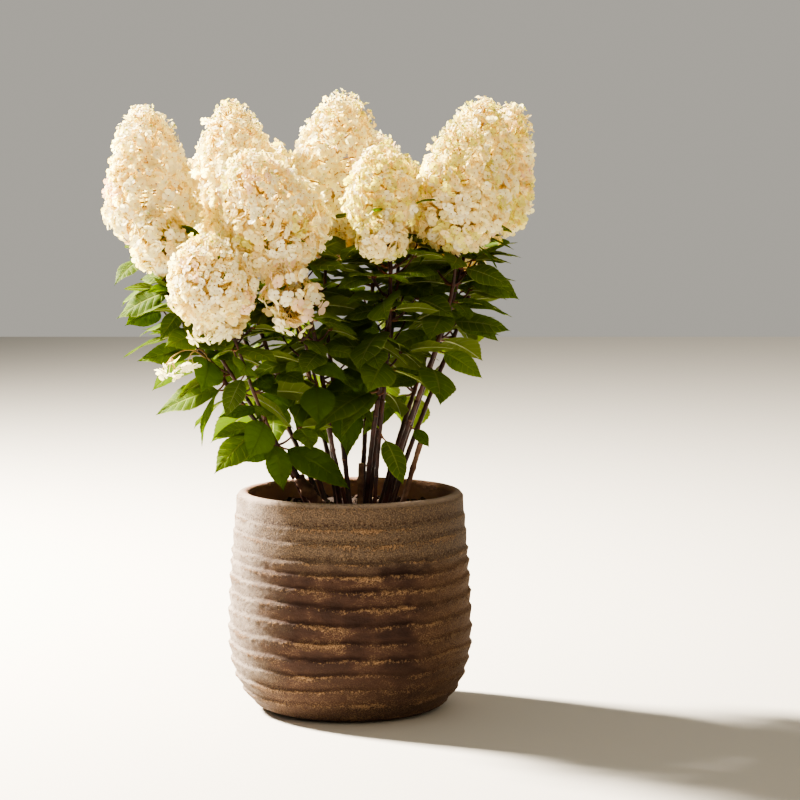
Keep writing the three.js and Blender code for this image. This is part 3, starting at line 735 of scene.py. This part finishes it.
def cane_radius(row, t):
    """A cane's radius at a share of its line: a flared foot, then an even taper."""
    flare = 1 if row.fork else 1 + (CANE.flare - 1) * np.maximum(0, 1 - t / CANE.flare_share) ** 2
    return mix(CANE.foot_radius, CANE.tip_radius, t) * row.scale * flare


def knobbly(points, radii, joints, sides, rough):
    """A stem with a swollen ring at each joint, given as a distance along it, and an uneven skin."""
    run = distances(points)
    swell = sum(np.exp(-(((run - joint) / JOINT.width) ** 2)) for joint in joints)
    corners, faces = tube(points, radii * (1 + JOINT.swell * swell), sides)
    centres = np.repeat(points, sides, axis=0)
    uneven = roughness(corners[:-2], JOINT.bump, 2)[:, None]
    corners[:-2] += (corners[:-2] - centres) * uneven * rough
    return corners, faces


def limb(plant, start, end, joints, ring_gap, sides, rough):
    """The part of a cane between two shares of its line, drawn as slim as in the photo."""
    t = np.linspace(start, end, int((end - start) * plant.line.length / ring_gap))
    return knobbly(plant.line.at(t), CANE.slim * cane_radius(plant.row, t), joints, sides, rough)


def leaf_scar(pile, point, forward, out, radius):
    """A pale crescent pad where an old leaf came off, under a joint."""
    rows, sides = 4, 6
    shape = (ball(np.linspace(0.15, math.pi - 0.15, rows), sides) * SCAR.shape).reshape(-1, 3)
    axes = np.stack([out, forward, np.cross(out, forward)])
    corners = point + out * radius * SCAR.out - forward * SCAR.below + shape @ axes * radius * SCAR.size
    pile.add(corners, grid_faces(rows, sides, wrap=True))


def canes(plants):
    """The bare canes, with their swollen joints and old leaf scars."""
    woody, scars = Pile(), Pile()
    for plant in plants:
        row, line = plant.row, plant.line
        first = JOINT.first * (1 + chance(plant.seed, 7))
        joints = np.arange(first, row.bare * line.length - JOINT.last, JOINT.gap * row.scale)
        woody.add(*limb(plant, 0, row.bare, joints, ring_gap=0.0032, sides=12, rough=0.16))
        for number, joint in enumerate(joints):
            share = joint / line.length
            point = line.at(share)
            forward = unit(line.at(share + 0.01) - point)
            for half in range(2):
                out = heading(row.turn + number * 90 + half * 180)
                out = unit(out - forward * (out @ forward))
                leaf_scar(scars, point, forward, out, CANE.slim * float(cane_radius(row, share)))
    pieces("canes", woody, material("cane_bark", bark, "#27100c", "#4a241a", 0.5), "bark",
           [f"cane_{plant.row.name}" for plant in plants])
    pieces("leaf_scars", scars, material("scar_bark", bark, "#54362a", "#86634c", 0.7), "bark")


def stumps():
    """The forked stem of old wood and last year's cut canes, each with a pale sawn end."""
    old, ends = Pile(), Pile()
    foot, tip, _ = old_wood_ends()
    stems = [(foot, tip, OLD_WOOD.foot_radius, OLD_WOOD.tip_radius, 0.3)]
    for row in CUT_CANES:
        stems.append((np.array([*row.root, GROUND]), np.array(row.tip), row.radius, row.radius, 0.18))
    for start, end, low, high, rough in stems:
        length = np.linalg.norm(end - start)
        share = np.linspace(0, 1, int(length / STUMP.ring_gap))
        points = start + (end - start) * share[:, None]
        flare = 1 + STUMP.flare * np.maximum(0, 1 - share / STUMP.flare_share) ** 2
        old.add(*knobbly(points, mix(low, high, share) * flare, [STUMP.knot * length], 16, rough))
        cap = end + unit(end - start) * np.array(STUMP.end_reach)[:, None]
        ends.add(*tube(cap, high * np.array(STUMP.end_radii), 14))
    nodes = ["old_wood_left"] + [row.name for row in CUT_CANES]
    pieces("old_wood", old, material("old_bark", bark, "#4a3026", "#8a6c54", 0.75), "bark", nodes)
    pieces("sawn_ends", ends, material("cut_wood", cut_wood), "bark")


# The leaves.

# Each leaf skin's blade and veins, its roughness, and the colour of the light that comes through it.
# The leaf skins are lit and shaded copies of one leaf: the fresh one is painted backlight and the darkest one
# is painted shade.
LEAF_LOOKS = {
    "fresh": ("#3b5003", "#6b8410", 0.5, "#8fae02"),
    "mid": ("#475d1e", "#93a350", 0.5, "#96ae12"),
    "deep": ("#415520", "#8a9856", 0.48, "#8aa014"),
    "underside": ("#5f6e2c", "#8a9648", 0.64, "#9cae10"),
}


def leaf_place(root, bearing, rise, roll, length, petiole, height=0, pair=0, mate=False, on_cane=False):
    """Where a leaf stands, and how. height is its share up the shoot, and mate marks the second of a pair."""
    return Sizes(**locals())


def leaf_places(row, line, seed):
    """Where a shoot's leaves stand, by rule: pairs up the stem, each turned a quarter from the one below."""
    pairs = round((1 - row.bare) * line.length / (SHOOT.pair_spacing * row.scale))
    places = []
    for index in range(2 * pairs):
        pair, half = divmod(index, 2)
        height = pair / (pairs - 1) if pairs > 1 else 0
        size = row.scale * mix(1, LEAF.top_scale, height ** 2)
        size *= 1 + LEAF.size_scatter * scatter(seed, index)
        places.append(leaf_place(
            line.at(mix(row.bare, 1, mix(SHOOT.first_pair, SHOOT.last_pair, height))),
            bearing=row.turn + pair * 90 + half * 180 + LEAF.scatter * scatter(seed, index + 50),
            rise=mix(LEAF.low_rise, LEAF.high_rise, height) + LEAF.scatter / 2 * scatter(seed, index + 90),
            roll=LEAF.roll * scatter(seed, index + 130), length=LEAF.length * size,
            petiole=LEAF.petiole * size, height=height, pair=pair, mate=half == 1))
    return places


def leaf_frame(place, attempt):
    """A leaf's directions. Each further try swings it further to a side, and lifts or drops it."""
    side = 1 if attempt % 2 else -1
    flat = heading(place.bearing + side * LEAF.swing * math.ceil(attempt / 2))
    rise = math.radians(place.rise + (LEAF.lift * ((attempt % 3) - 1) if attempt else 0))
    along = flat * math.cos(rise) + UP * math.sin(rise)
    over = UP * math.cos(rise) - flat * math.sin(rise)
    over = np.array(Quaternion(Vector(along), math.radians(place.roll)) @ Vector(over))
    return Sizes(root=place.root, along=along, over=over, side=np.cross(over, along), length=place.length,
                 petiole=place.petiole)


def spine(leaf, at):
    """Points on a leaf's midrib at shares of its length."""
    at = np.asarray(at, float)[..., None]
    return (leaf.root + leaf.along * (leaf.petiole + at * leaf.length)
            - leaf.over * LEAF.sag * leaf.length * at * at)


def solid(corners, faces):
    """A mesh's search tree and box, to test what touches what."""
    corners = np.asarray(corners, float)
    tree = BVHTree.FromPolygons(corners.tolist(), [list(map(int, face)) for face in faces])
    return Sizes(tree=tree, low=corners.min(0), high=corners.max(0))


def coarse_blade(leaf):
    """The leaf as the source's few faces, to test what it touches."""
    widest = leaf.length * LEAF.width_share / 2
    corners = [leaf.root]
    for at, half in ((0, LEAF.thickness), (0.34, widest), (0.68, widest * 0.78)):
        point = spine(leaf, at)
        fold = leaf.over * half * LEAF.fold
        corners += [point + leaf.side * half + fold, point - leaf.side * half + fold,
                    point - leaf.over * LEAF.thickness]
    corners.append(spine(leaf, 1))
    faces = []
    for k in range(3):
        after = (k + 1) % 3
        faces += [(0, 1 + after, 1 + k), (7 + k, 7 + after, 10)]
        for ring in (1, 4):
            faces += [(ring + k, ring + after, ring + 3 + after), (ring + k, ring + 3 + after, ring + 3 + k)]
    return solid(corners, faces)


def touches(a, b):
    """Whether two solids' faces cross."""
    if (a.low > b.high).any() or (b.low > a.high).any():
        return False
    return bool(a.tree.overlap(b.tree))


def in_reach(shape):
    """Whether a leaf keeps within the crown's sides, as the source has them, and the frame's own reach."""
    right = np.interp(shape.low[2], (CROWN.low_height, CROWN.high_height), (CROWN.low_right, CROWN.right))
    if shape.low[0] < CROWN.left or shape.high[0] > right:
        return False
    return (shape.low > np.array(cad_box[0])).all() and (shape.high < np.array(cad_box[1])).all()


def settle(place, obstacles):
    """The first try of a leaf that touches nothing, or none."""
    for attempt in range(SHOOT.tries):
        leaf = leaf_frame(place, attempt)
        leaf.shape = coarse_blade(leaf)
        if in_reach(leaf.shape) and not any(touches(leaf.shape, other) for other in obstacles):
            return leaf
    return None


def twig_places(place, leaf, seed):
    """The end of a side twig in a leaf's axil, and the places of the three small leaves there."""
    rise = math.radians(TWIG.rise)
    flat = unit(leaf.along * (1, 1, 0))
    turn = math.radians(TWIG.turn * scatter(seed, place.pair + 200))
    flat = flat * math.cos(turn) + np.array([-flat[1], flat[0], 0]) * math.sin(turn)
    length = TWIG.length * (1 + TWIG.length_scatter * scatter(seed, place.pair + 210))
    end = place.root + (flat * math.cos(rise) + UP * math.sin(rise)) * length
    bearing = math.degrees(math.atan2(flat[1], flat[0]))
    places = []
    for half in (-1, 0, 1):
        size = TWIG.leaf_scale * (1 if half else TWIG.middle)
        size *= 1 + TWIG.size_scatter * scatter(seed, place.pair + half + 220)
        places.append(leaf_place(end, bearing + half * TWIG.spread,
                                 rise=TWIG.leaf_rise + TWIG.rise_scatter * scatter(seed, half + 230),
                                 roll=LEAF.roll * scatter(seed, place.pair * 3 + half + 240),
                                 length=LEAF.length * size, petiole=LEAF.petiole * size * TWIG.petiole,
                                 height=place.height))
    return end, places


def grow_leaves(plants, walls):
    """Puts a leaf on every shoot in turn, from the lowest up, each where it touches nothing."""
    blades = []
    for plant in plants:
        t = np.linspace(plant.row.bare, 1, 9)
        plant.stem = solid(*tube(plant.line.at(t), cane_radius(plant.row, t), 5))
        plant.places = leaf_places(plant.row, plant.line, plant.seed)
        plant.leaves, plant.twigs = [], []
        for name, share, bearing, rise, length, roll in SINGLE_LEAVES:
            if name == plant.row.name:
                height = max(0, (share - plant.row.bare) / (1 - plant.row.bare))
                plant.places.insert(0, leaf_place(plant.line.at(share), bearing, rise, roll, length,
                                                  LEAF.single_petiole, height, on_cane=True))
    for turn in range(max(len(plant.places) for plant in plants)):
        for plant in plants:
            if turn >= len(plant.places):
                continue
            place = plant.places[turn]
            stems = [other.stem for other in plants if other is not plant]
            own_cane = f"cane_{plant.row.name}" if place.on_cane else None
            mate = plant.leaves[-1].shape if place.mate and plant.leaves else None
            around = [shape for name, shape in walls.items() if name != own_cane] + stems
            leaf = settle(place, around + [blade for blade in blades if blade is not mate])
            if leaf:
                leaf.place, leaf.seed = place, plant.seed * 100 + turn
                plant.leaves.append(leaf)
                blades.append(leaf.shape)
    return blades


def grow_twigs(plants, walls, blades):
    """Puts a side twig with small leaves in the axil of each leaf that has room for one."""
    for plant in plants:
        stems = [other.stem for other in plants if other is not plant]
        for leaf in [leaf for leaf in plant.leaves if not leaf.place.on_cane]:
            end, places = twig_places(leaf.place, leaf, leaf.seed)
            grown = []
            for number, place in enumerate(places):
                small = settle(place, [*walls.values(), *stems, *blades, plant.stem])
                if small:
                    small.place, small.seed = place, leaf.seed * 7 + number
                    grown.append(small)
            if grown:
                plant.twigs.append((leaf.place.root, end))
                plant.leaves += grown
                blades += [small.shape for small in grown]


def blade_shape(number):
    """One of the leaves' fine shapes, for a leaf of length 1: along, across and over, with its vein marks.
    The rows of the mesh follow the side veins, and the blade is quilted between them."""
    b = BLADE
    u = np.linspace(0, 1, b.rows + 1)[:, None]
    v = np.linspace(-1, 1, b.columns + 1)[None, :]
    away = np.abs(v)
    tooth = (np.arange(b.rows + 1)[:, None] % 2) * (away > 0.99)
    # The rows slant towards the tip as the side veins do, and every other one ends in a tooth.
    rim_at = u + b.slant * u * (1 - u)
    width = np.sin(math.pi * rim_at ** 0.85).clip(0) ** mix(0.7, 1.5, rim_at ** 2)
    half = LEAF.width_share / 2 * width * (1 + 0.03 * np.sin(5 * u + number))
    across = v * half * (1 + b.tooth * tooth)
    along = mix(u, rim_at, away ** 1.2) + 0.008 * tooth
    # The blade folds at its midrib, sags to its tip, swells between its veins, and waves at its rim.
    fold = mix(-0.1, 0.42, chance(number, 3))
    over = (LEAF.fold + fold) / 2 * np.abs(across) - LEAF.sag * along ** 2
    between = np.abs(np.sin(math.pi * u * b.veins))
    over = over + b.quilt * between * np.sin(math.pi * away ** 0.8) ** 0.6 * np.sin(math.pi * u) ** 0.5
    wave = 2 * math.pi * (1.7 * u + chance(number, 1)) + 1.4 * v
    over = over + b.wave * away ** 2 * np.sin(wave) * np.sin(math.pi * u)
    over = over - mix(0.08, 0.3, chance(number, 5)) * half * away ** 3
    top = np.stack([along + 0 * v, across, over], -1).reshape(-1, 3)
    rim = (away > 0.99) | (u < 0.01) | (u > 0.99)
    under = top - np.where(rim, 0, b.skin).reshape(-1, 1) * (0, 0, 1)
    marks = np.stack([u * b.veins + 0 * v, away + 0 * u], -1).reshape(-1, 2)
    return top, under, marks


def lay_leaf(leaf, shapes, piles):
    """One leaf: its two skins, its stalk and the midrib that stands out under it."""
    top, under, marks = shapes[leaf.seed % len(shapes)]
    base = leaf.root + leaf.along * leaf.petiole
    axes = np.stack([leaf.along, leaf.side, leaf.over])
    faces = grid_faces(BLADE.rows + 1, BLADE.columns + 1)
    # The first and last rows are points, so the triangles with two corners in one of them have no area.
    ends = BLADE.columns + 1
    faces = faces[~(((faces < ends).sum(1) > 1) | ((faces >= BLADE.rows * ends).sum(1) > 1))]
    piles[leaf.tint].add((top @ axes) * leaf.length + base, faces[:, ::-1], marks)
    piles["underside"].add((under @ axes) * leaf.length + base, faces, marks)
    size = leaf.length / LEAF.length
    share = np.linspace(0, 1, 4)
    stalk = leaf.root + (leaf.along * leaf.petiole * BLADE.stalk_reach) * share[:, None]
    stalk = stalk - leaf.over * (BLADE.stalk_bow * leaf.petiole * np.sin(math.pi * share))[:, None]
    piles["petioles"].add(*tube(stalk, mix(*BLADE.stalk, share) * size ** 0.5, 6))
    at = np.linspace(0, BLADE.rib_end, 7)
    rib = spine(leaf, at) - leaf.over * BLADE.rib_below
    piles["midribs"].add(*tube(rib, mix(*BLADE.rib, at) * size ** 0.5, 4))


def bracts():
    """The small leaves that show among the florets."""
    rows = {row.name: row for row in CANES}
    for number, (name, share, bearing, rise, length) in enumerate(BRACTS):
        foot, tip = np.array(rows[name].foot), np.array(rows[name].tip)
        reach = heading(bearing) * bloom_radius(np.array(share), rows[name]) * BRACT.out
        roll = BRACT.roll * scatter(number, 3)
        place = leaf_place(mix(foot, tip, share) + reach, bearing, rise, roll, length, BRACT.petiole)
        leaf = leaf_frame(place, attempt=0)
        leaf.seed, leaf.tint = number, "fresh"
        yield leaf


def tint_of(leaf):
    """A leaf's colour, by its spray: the fresh tint low down and on the left, as painted backlight, and the
    darkest tint inside and near the blooms, as painted shade.
    """
    fresh = 0.62 - 0.5 * leaf.place.height - 1.3 * leaf.root[0] + 0.35 * scatter(leaf.seed, 11)
    if fresh > 0.72:
        return "fresh"
    return "mid" if fresh > 0.34 else "deep"


def foliage(plants):
    """All the leaves, their stalks, the shoots that carry them and the side twigs."""
    walls = {name: solid([v.co for v in node.data.vertices], [p.vertices for p in node.data.polygons])
             for name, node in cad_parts.items() if not name.startswith("foliage_")}
    grow_twigs(plants, walls, grow_leaves(plants, walls))
    shapes = [blade_shape(number) for number in range(BLADE.shapes)]
    piles = {name: Pile() for name in (*LEAF_LOOKS, "petioles", "midribs")}
    shoots = Pile()
    for leaf in bracts():
        lay_leaf(leaf, shapes, piles)
    for plant in plants:
        for leaf in plant.leaves:
            leaf.tint = tint_of(leaf)
            lay_leaf(leaf, shapes, piles)
        leafy = (1 - plant.row.bare) * plant.line.length
        joints = sorted({round(leafy * mix(SHOOT.first_pair, SHOOT.last_pair, place.height), 5)
                         for place in plant.places if not place.on_cane})
        shoots.add(*limb(plant, plant.row.bare, 1, joints, ring_gap=0.0035, sides=10, rough=0.1))
        for start, end in plant.twigs:
            share = np.linspace(0, 1, 8)
            bow = TWIG.bow * np.linalg.norm(end - start) * np.sin(math.pi * share)
            run = start + (end - start) * share[:, None] - UP * bow[:, None]
            shoots.add(*tube(run, mix(TWIG.radius * TWIG.foot, TWIG.radius * TWIG.tip, share), 6))
    nodes = [f"foliage_{plant.row.name}" for plant in plants]
    skins = {name: material(f"leaf_{name}", leaf_skin, *looks) for name, looks in LEAF_LOOKS.items()}
    skins["petioles"] = material("petiole_skin", bark, "#552a1c", "#86663a", 0.5)
    skins["midribs"] = material("midrib_skin", bark, "#8f9c52", "#b2b974", 0.5)
    for name, pile in piles.items():
        pieces(f"leaf_{name}", pile, skins[name], "leaves", nodes if name in LEAF_LOOKS else ())
    pieces("leafy_shoots", shoots, material("young_bark", bark, "#30140d", "#583020", 0.48), "bark", nodes)


# The blooms.

# Each petal's own colour, and that of the light that comes through it.
PETAL_TONES = {
    "ivory": ("#fcfbe6", "#faf2ae"),
    "cream": ("#faf5cb", "#f8e98e"),
    "peach": ("#f8eab8", "#f6dd80"),
    "lime": ("#ece792", "#e2dc58"),
    "blush": ("#f8e2cc", "#f7d8ae"),
}


def bloom_radius(at, row):
    """A bloom's radius at a share of its height: a blunt cone, rounded under its widest ring."""
    low = 1 - at / row.widest
    high = (at - row.widest) / (1 - row.widest)
    away = np.where(at < row.widest, np.abs(low) ** row.round_foot, np.abs(high) ** BLOOM.blunt)
    return row.radius * np.sqrt(np.clip(1 - away, 0, 1))


def floret_shape(number, columns):
    """One of the florets' shapes, for petals of length 1: four round, slightly cupped petals that overlap."""
    rng = np.random.default_rng(100 + number)
    # Each row of a petal's mesh lies so far out, and is so wide to each side.
    rows = ((0.40, 0.40), (0.80, 0.52), (1.0, 0.24))
    tip = [(0, k, k + 1) for k in range(1, columns)]
    petal_faces = np.concatenate([tip, grid_faces(len(rows), columns)[:, ::-1] + 1])
    cup = rng.uniform(-0.2, 0.42)
    petals = []
    for petal in range(4):
        turn = petal * math.pi / 2 + rng.uniform(-0.16, 0.16)
        size = rng.uniform(0.82, 1.1)
        lift = 0.05 if petal % 2 else -0.02
        tilt = cup + rng.uniform(-0.16, 0.16)
        points = [(0.04, 0, lift)]
        for out, half in rows:
            for side in np.linspace(-1, 1, columns):
                rise = lift + 0.12 * math.sin(math.pi * out) + tilt * out * out - 0.14 * abs(side) * half
                points.append((out * size - 0.04 * abs(side), side * half * size, rise))
        x, y, z = np.array(points).T
        c, s = math.cos(turn), math.sin(turn)
        petals.append(np.stack([x * c - y * s, x * s + y * c, z], -1))
    faces = [petal_faces + petal * len(petals[0]) for petal in range(4)]
    return np.concatenate(petals), np.concatenate(faces)


def bead(sides, rows):
    """A round bead of radius 1, for the eye of a floret or for a bud."""
    return capped(ball(np.linspace(0, math.pi, rows + 2)[1:-1], sides), -UP, UP)


def struts(pile, starts, ends, low, high):
    """Thin three-sided stalks, one from each start to its end."""
    sides = 3
    forward = unit(ends - starts)
    steady = np.where(np.abs(forward[:, 2:]) < 0.8, UP, (1.0, 0, 0))
    across = unit(np.cross(forward, steady))
    out = spokes(sides, across, np.cross(forward, across))
    corners = np.concatenate([starts[:, None] + out * low, ends[:, None] + out * high], 1)
    pile.add_alike(corners, grid_faces(2, sides, wrap=True))


def spread_over(row, room, turn):
    """Even places over a bloom, one for each bit of room, as shares of height, bearings and radii."""
    length = np.linalg.norm(np.array(row.tip) - np.array(row.foot))
    at = np.linspace(0.01, 0.985, 240)
    radius = bloom_radius(at, row)
    step = np.hypot(np.gradient(radius), np.gradient(at) * length)
    area = np.cumsum(2 * math.pi * radius * step)
    count = max(6, int(area[-1] / room))
    height = np.interp((np.arange(count) + 0.5) / count * area[-1], area, at)
    return height, np.arange(count) * GOLDEN_ANGLE + turn, bloom_radius(height, row)


def facing_frames(normals, spins):
    """Three axes for each floret: two in its plane, and the direction that it faces."""
    steady = np.where(np.abs(normals[:, 2:]) < 0.9, UP, (1.0, 0, 0))
    across = unit(np.cross(steady, normals))
    beside = np.cross(normals, across)
    c, s = np.cos(spins)[:, None], np.sin(spins)[:, None]
    return np.stack([across * c + beside * s, beside * c - across * s, normals], 1)


def lay_florets(rng, piles, shapes, places, normals, sizes, tints):
    """Puts a floret at each place, facing along its normal, in the pile of its tint."""
    frames = facing_frames(normals, rng.uniform(0, 2 * math.pi, len(places)))
    look = rng.integers(0, len(shapes), len(places))
    for number, shape in enumerate(shapes):
        for tint, name in enumerate(PETAL_TONES):
            chosen = (look == number) & (tints == tint)
            if chosen.any():
                piles[name].add_copies(*shape, places[chosen], frames[chosen], sizes[chosen])


def eyes_and_stalks(piles, roots, places, normals):
    """The eye in the middle of each floret, and the thin stalk that it stands on."""
    spin = np.zeros(len(places))
    frames = facing_frames(normals, spin) * np.array([1.0, 1.0, 0.6])[None, :, None]
    piles["eyes"].add_copies(*bead(4, 1), places + normals * BLOOM.eye / 2, frames, spin + BLOOM.eye)
    struts(piles["stalks"], roots, places - normals * BLOOM.eye / 4, *BLOOM.stalk)


def lobes_of(rng, row, seed, points_at, axis_point):
    """A bloom's sprays, each a rounded lobe of the cone, with its top, foot, heart, depth and tint."""
    at, bearing, reach = spread_over(row, BLOOM.lobe ** 2, seed)
    tops, feet = points_at(at, bearing, reach), axis_point(0.1 + 0.72 * at)
    depth = np.minimum(BLOOM.lobe_depth, 0.62 * np.linalg.norm(tops - feet, axis=1))
    hearts = tops - unit(tops - feet) * depth[:, None]
    deals = rng.uniform(0, 1, len(tops))
    lime = row.lime + 0.4 * np.clip((at - 0.75) / 0.25, 0, 1)
    ivory, cream, _, green, pink = range(len(PETAL_TONES))
    tints = np.select([deals < lime, deals > 1 - row.blush, deals > 0.6], [green, pink, cream], ivory)
    return Sizes(tops=tops, feet=feet, hearts=hearts, depth=depth, tints=tints)


def lay_bloom(row, seed, looks, piles):
    """One bloom: sprays of florets round a central stalk, with buds among them."""
    rng = np.random.default_rng(seed)
    foot, rise = np.array(row.foot), np.array(row.tip) - np.array(row.foot)
    length, axis = np.linalg.norm(rise), unit(rise)
    across, beside = axes_across(axis)

    def axis_point(at):
        return foot + axis * (at * length)[:, None]

    def points_at(at, bearing, reach):
        out = np.cos(bearing)[:, None] * across + np.sin(bearing)[:, None] * beside
        run = at * (length - 2 * BLOOM.inset) + BLOOM.inset
        return foot + axis * run[:, None] + out * (reach - BLOOM.inset)[:, None]

    # The florets' places over the cone, fewer at its foot, and none in its hole.
    lobes = lobes_of(rng, row, seed, points_at, axis_point)
    at, bearing, reach = spread_over(row, BLOOM.room * row.petal ** 2, seed * 1.7)
    skin = points_at(at, bearing + rng.normal(0, FLORET.stray, len(at)), reach)
    kept = rng.uniform(0, 1, len(at)) < row.dense * mix(0.55, 1.0, smooth(at / 0.16))
    if row.gap:
        share, turn = row.gap
        hole = foot + axis * share * length + heading(turn) * bloom_radius(np.array(share), row)
        kept &= np.linalg.norm(skin - hole, axis=1) > BLOOM.gap
    at, skin = at[kept], skin[kept]
    count = len(at)

    # Each is drawn in to the nearest spray's round skin. Some stand out of it, and the lowest hang.
    nearest = np.argmin(((skin[:, None] - lobes.tops[None]) ** 2).sum(-1), axis=1)
    centre = lobes.hearts[nearest]
    away = unit(skin - centre)
    ball_skin = centre + away * (lobes.depth[nearest] * rng.uniform(0.8, 1.0, count))[:, None]
    place = mix(skin, ball_skin, BLOOM.lobed)
    inside = np.linalg.norm(place - centre, axis=1) <= np.linalg.norm(skin - centre, axis=1) + 0.001
    place = np.where(inside[:, None], place, skin)
    standing = rng.uniform(0, 1, count) < BLOOM.standing_share * mix(1.0, 2.4, at ** 4)
    place = place + away * (standing * BLOOM.standing * rng.uniform(0.3, 1.0, count))[:, None]
    low = np.clip(1 - at / FLORET.hang_share, 0, 1)
    place = place - UP * (low * rng.uniform(0, FLORET.hang, count))[:, None]
    place = keep_in_box(place, 0.003)

    # How the florets face, their sizes and their tints. Plainer ones fill the room under them, all peach as
    # painted shade deep in the bloom.
    normal = unit(away + FLORET.tilt * rng.normal(size=away.shape) + FLORET.lift * UP)
    size = BLOOM.petal * row.petal * mix(1.0, FLORET.tip_size, at ** 3) * rng.uniform(*FLORET.sizes, count)
    own = rng.uniform(0, 1, count) < FLORET.own_tint
    tint = np.where(own, rng.integers(0, 3, count), lobes.tints[nearest])
    lay_florets(rng, piles, looks.fine, place, normal, size, tint)
    eyes_and_stalks(piles, mix(centre, place, 0.25), place, normal)
    deeper = rng.uniform(0, 1, count) < BLOOM.inner_share
    # These inner florets all take the peach tint, painted shade deep inside the bloom.
    lay_florets(rng, piles, looks.plain, mix(centre, place, 0.78)[deeper], normal[deeper], size[deeper],
                np.full(deeper.sum(), 2))

    # Buds stand among them, most of them at the tip.
    buds = rng.uniform(0, 1, count) < BLOOM.bud_share * (0.3 + 2.4 * at ** 3)
    out = unit(away[buds] + 0.5 * rng.normal(size=(buds.sum(), 3)))
    bud_place = keep_in_box(place[buds] + out * 0.003, 0.002)
    bud_size = rng.uniform(*BLOOM.bud, buds.sum())
    piles["buds"].add_copies(*bead(5, 2), bud_place, facing_frames(out, 0 * bud_size), bud_size)
    struts(piles["stalks"], mix(centre[buds], bud_place, 0.2), bud_place, *BLOOM.stalk)
    struts(piles["branches"], lobes.feet, lobes.hearts, *BLOOM.branch)
    share = np.linspace(0, 0.93, 14)
    piles["branches"].add(*tube(axis_point(share), mix(*BLOOM.trunk, share) * row.scale, 7))


def stray_sprays(plants, looks, piles):
    """Loose florets that hang on thin stalks from a twig of their own, below the blooms."""
    rng = np.random.default_rng(40)
    lines = {plant.row.name: plant.line for plant in plants}
    for name, share, middle, count, spread in STRAY_SPRAYS:
        root, end = lines[name].at(share), np.array(middle) + UP * SPRAY.above
        step = np.linspace(0, 1, 9)[:, None]
        twig = root + (end - root) * step + UP * SPRAY.bow * np.sin(math.pi * step)
        piles["branches"].add(*tube(twig, mix(*SPRAY.twig, step[:, 0]), 6))
        places = np.array(middle) + rng.normal(size=(count, 3)) * spread
        turned = rng.normal(size=(count, 3)) * SPRAY.turn
        normals = unit(places - end + turned + (0, -SPRAY.lean, 0))
        sizes = rng.uniform(*SPRAY.petal, count)
        lay_florets(rng, piles, looks.fine, places, normals, sizes, np.zeros(count))
        eyes_and_stalks(piles, np.broadcast_to(end, places.shape), places, normals)


def blooms(plants):
    """All the blooms, their petals joined by colour."""
    piles = {name: Pile() for name in (*PETAL_TONES, "eyes", "stalks", "buds", "branches")}
    looks = Sizes(fine=[floret_shape(number, 3) for number in range(BLOOM.shapes)],
                  plain=[floret_shape(number, 2) for number in range(BLOOM.shapes)])
    for plant in plants:
        lay_bloom(plant.row, plant.seed, looks, piles)
    stray_sprays(plants, looks, piles)
    skins = {name: material(f"petal_{name}", petal_skin, *tones) for name, tones in PETAL_TONES.items()}
    skins["eyes"] = material("floret_eye", petal_skin, "#b07c3c", "#c88f48")
    skins["stalks"] = material("floret_stalk", petal_skin, "#ddc38a", "#e0c878")
    skins["buds"] = material("flower_bud", petal_skin, "#d8d894", "#d0d478")
    skins["branches"] = material("bloom_branch", bark, "#a5824e", "#c8ae78", 0.6)
    nodes = [f"bloom_{plant.row.name}" for plant in plants]
    for name, pile in piles.items():
        pieces(f"floret_{name}", pile, skins[name], "petals", nodes if name in PETAL_TONES else ())


def hydrangea():
    """The whole plant, from the canes' lines up."""
    plants = [Sizes(row=row, line=cane_line(row), seed=number) for number, row in enumerate(CANES, start=1)]
    canes(plants)
    stumps()
    foliage(plants)
    blooms(plants)


# The studio.

# The photograph's view, fitted to the planter: the camera's place, its dip in degrees, and its lens and film
# in millimetres.
VIEW = Sizes(place=(0.061, -3.6, 0.728), dip=5.555, lens=133.9, film=36)


def floor():
    """A plain pale floor that the planter stands on."""
    mesh = bpy.data.meshes.new("studio_floor")
    half = 6.0
    corners = [(x * half, y * half, 0) for x, y in ((-1, -1), (1, -1), (1, 1), (-1, 1))]
    mesh.from_pydata(corners, [], [range(4)])
    mesh.materials.append(material("studio_floor", matt_paint))
    link("studio_floor", mesh)


def light(name, place, target, size, power, tone):
    """A soft square light at a place, turned to a target."""
    lamp = bpy.data.lights.new(name, "AREA")
    lamp.size = size
    lamp.energy = power
    lamp.color = colour(tone)[:3]
    made = link(name, lamp)
    made.location = place
    made.rotation_euler = (Vector(target) - Vector(place)).to_track_quat("-Z", "Y").to_euler()


def studio():
    """Soft sun-like light from behind on the left, a wide fill in front on the right, and a pale room."""
    middle = (0, 0, 0.45)
    light("key", (-2.2, 1.2, 2.2), middle, size=0.4, power=1360, tone="#fff5e6")
    light("fill", (1.4, -2.6, 1.8), middle, size=2.4, power=34, tone="#ffe6bd")
    world = bpy.data.worlds.new("room")
    world.use_nodes = True
    room = world.node_tree.nodes["Background"]
    room.inputs["Color"].default_value = colour("#f2ede2")
    room.inputs["Strength"].default_value = 0.45
    bpy.context.scene.world = world


def camera():
    """The photograph's own view: from the front, a little above the planter, through a long lens."""
    lens = bpy.data.cameras.new("camera")
    lens.lens, lens.sensor_width = VIEW.lens, VIEW.film
    lens.clip_end = 50
    made = link("camera", lens)
    made.location = VIEW.place
    made.rotation_euler = (math.radians(90 - VIEW.dip), 0, 0)
    bpy.context.scene.camera = made
    bpy.context.scene.view_settings.look = "AgX - Medium High Contrast"


planter()
soil()
hydrangea()
floor()
studio()
camera()
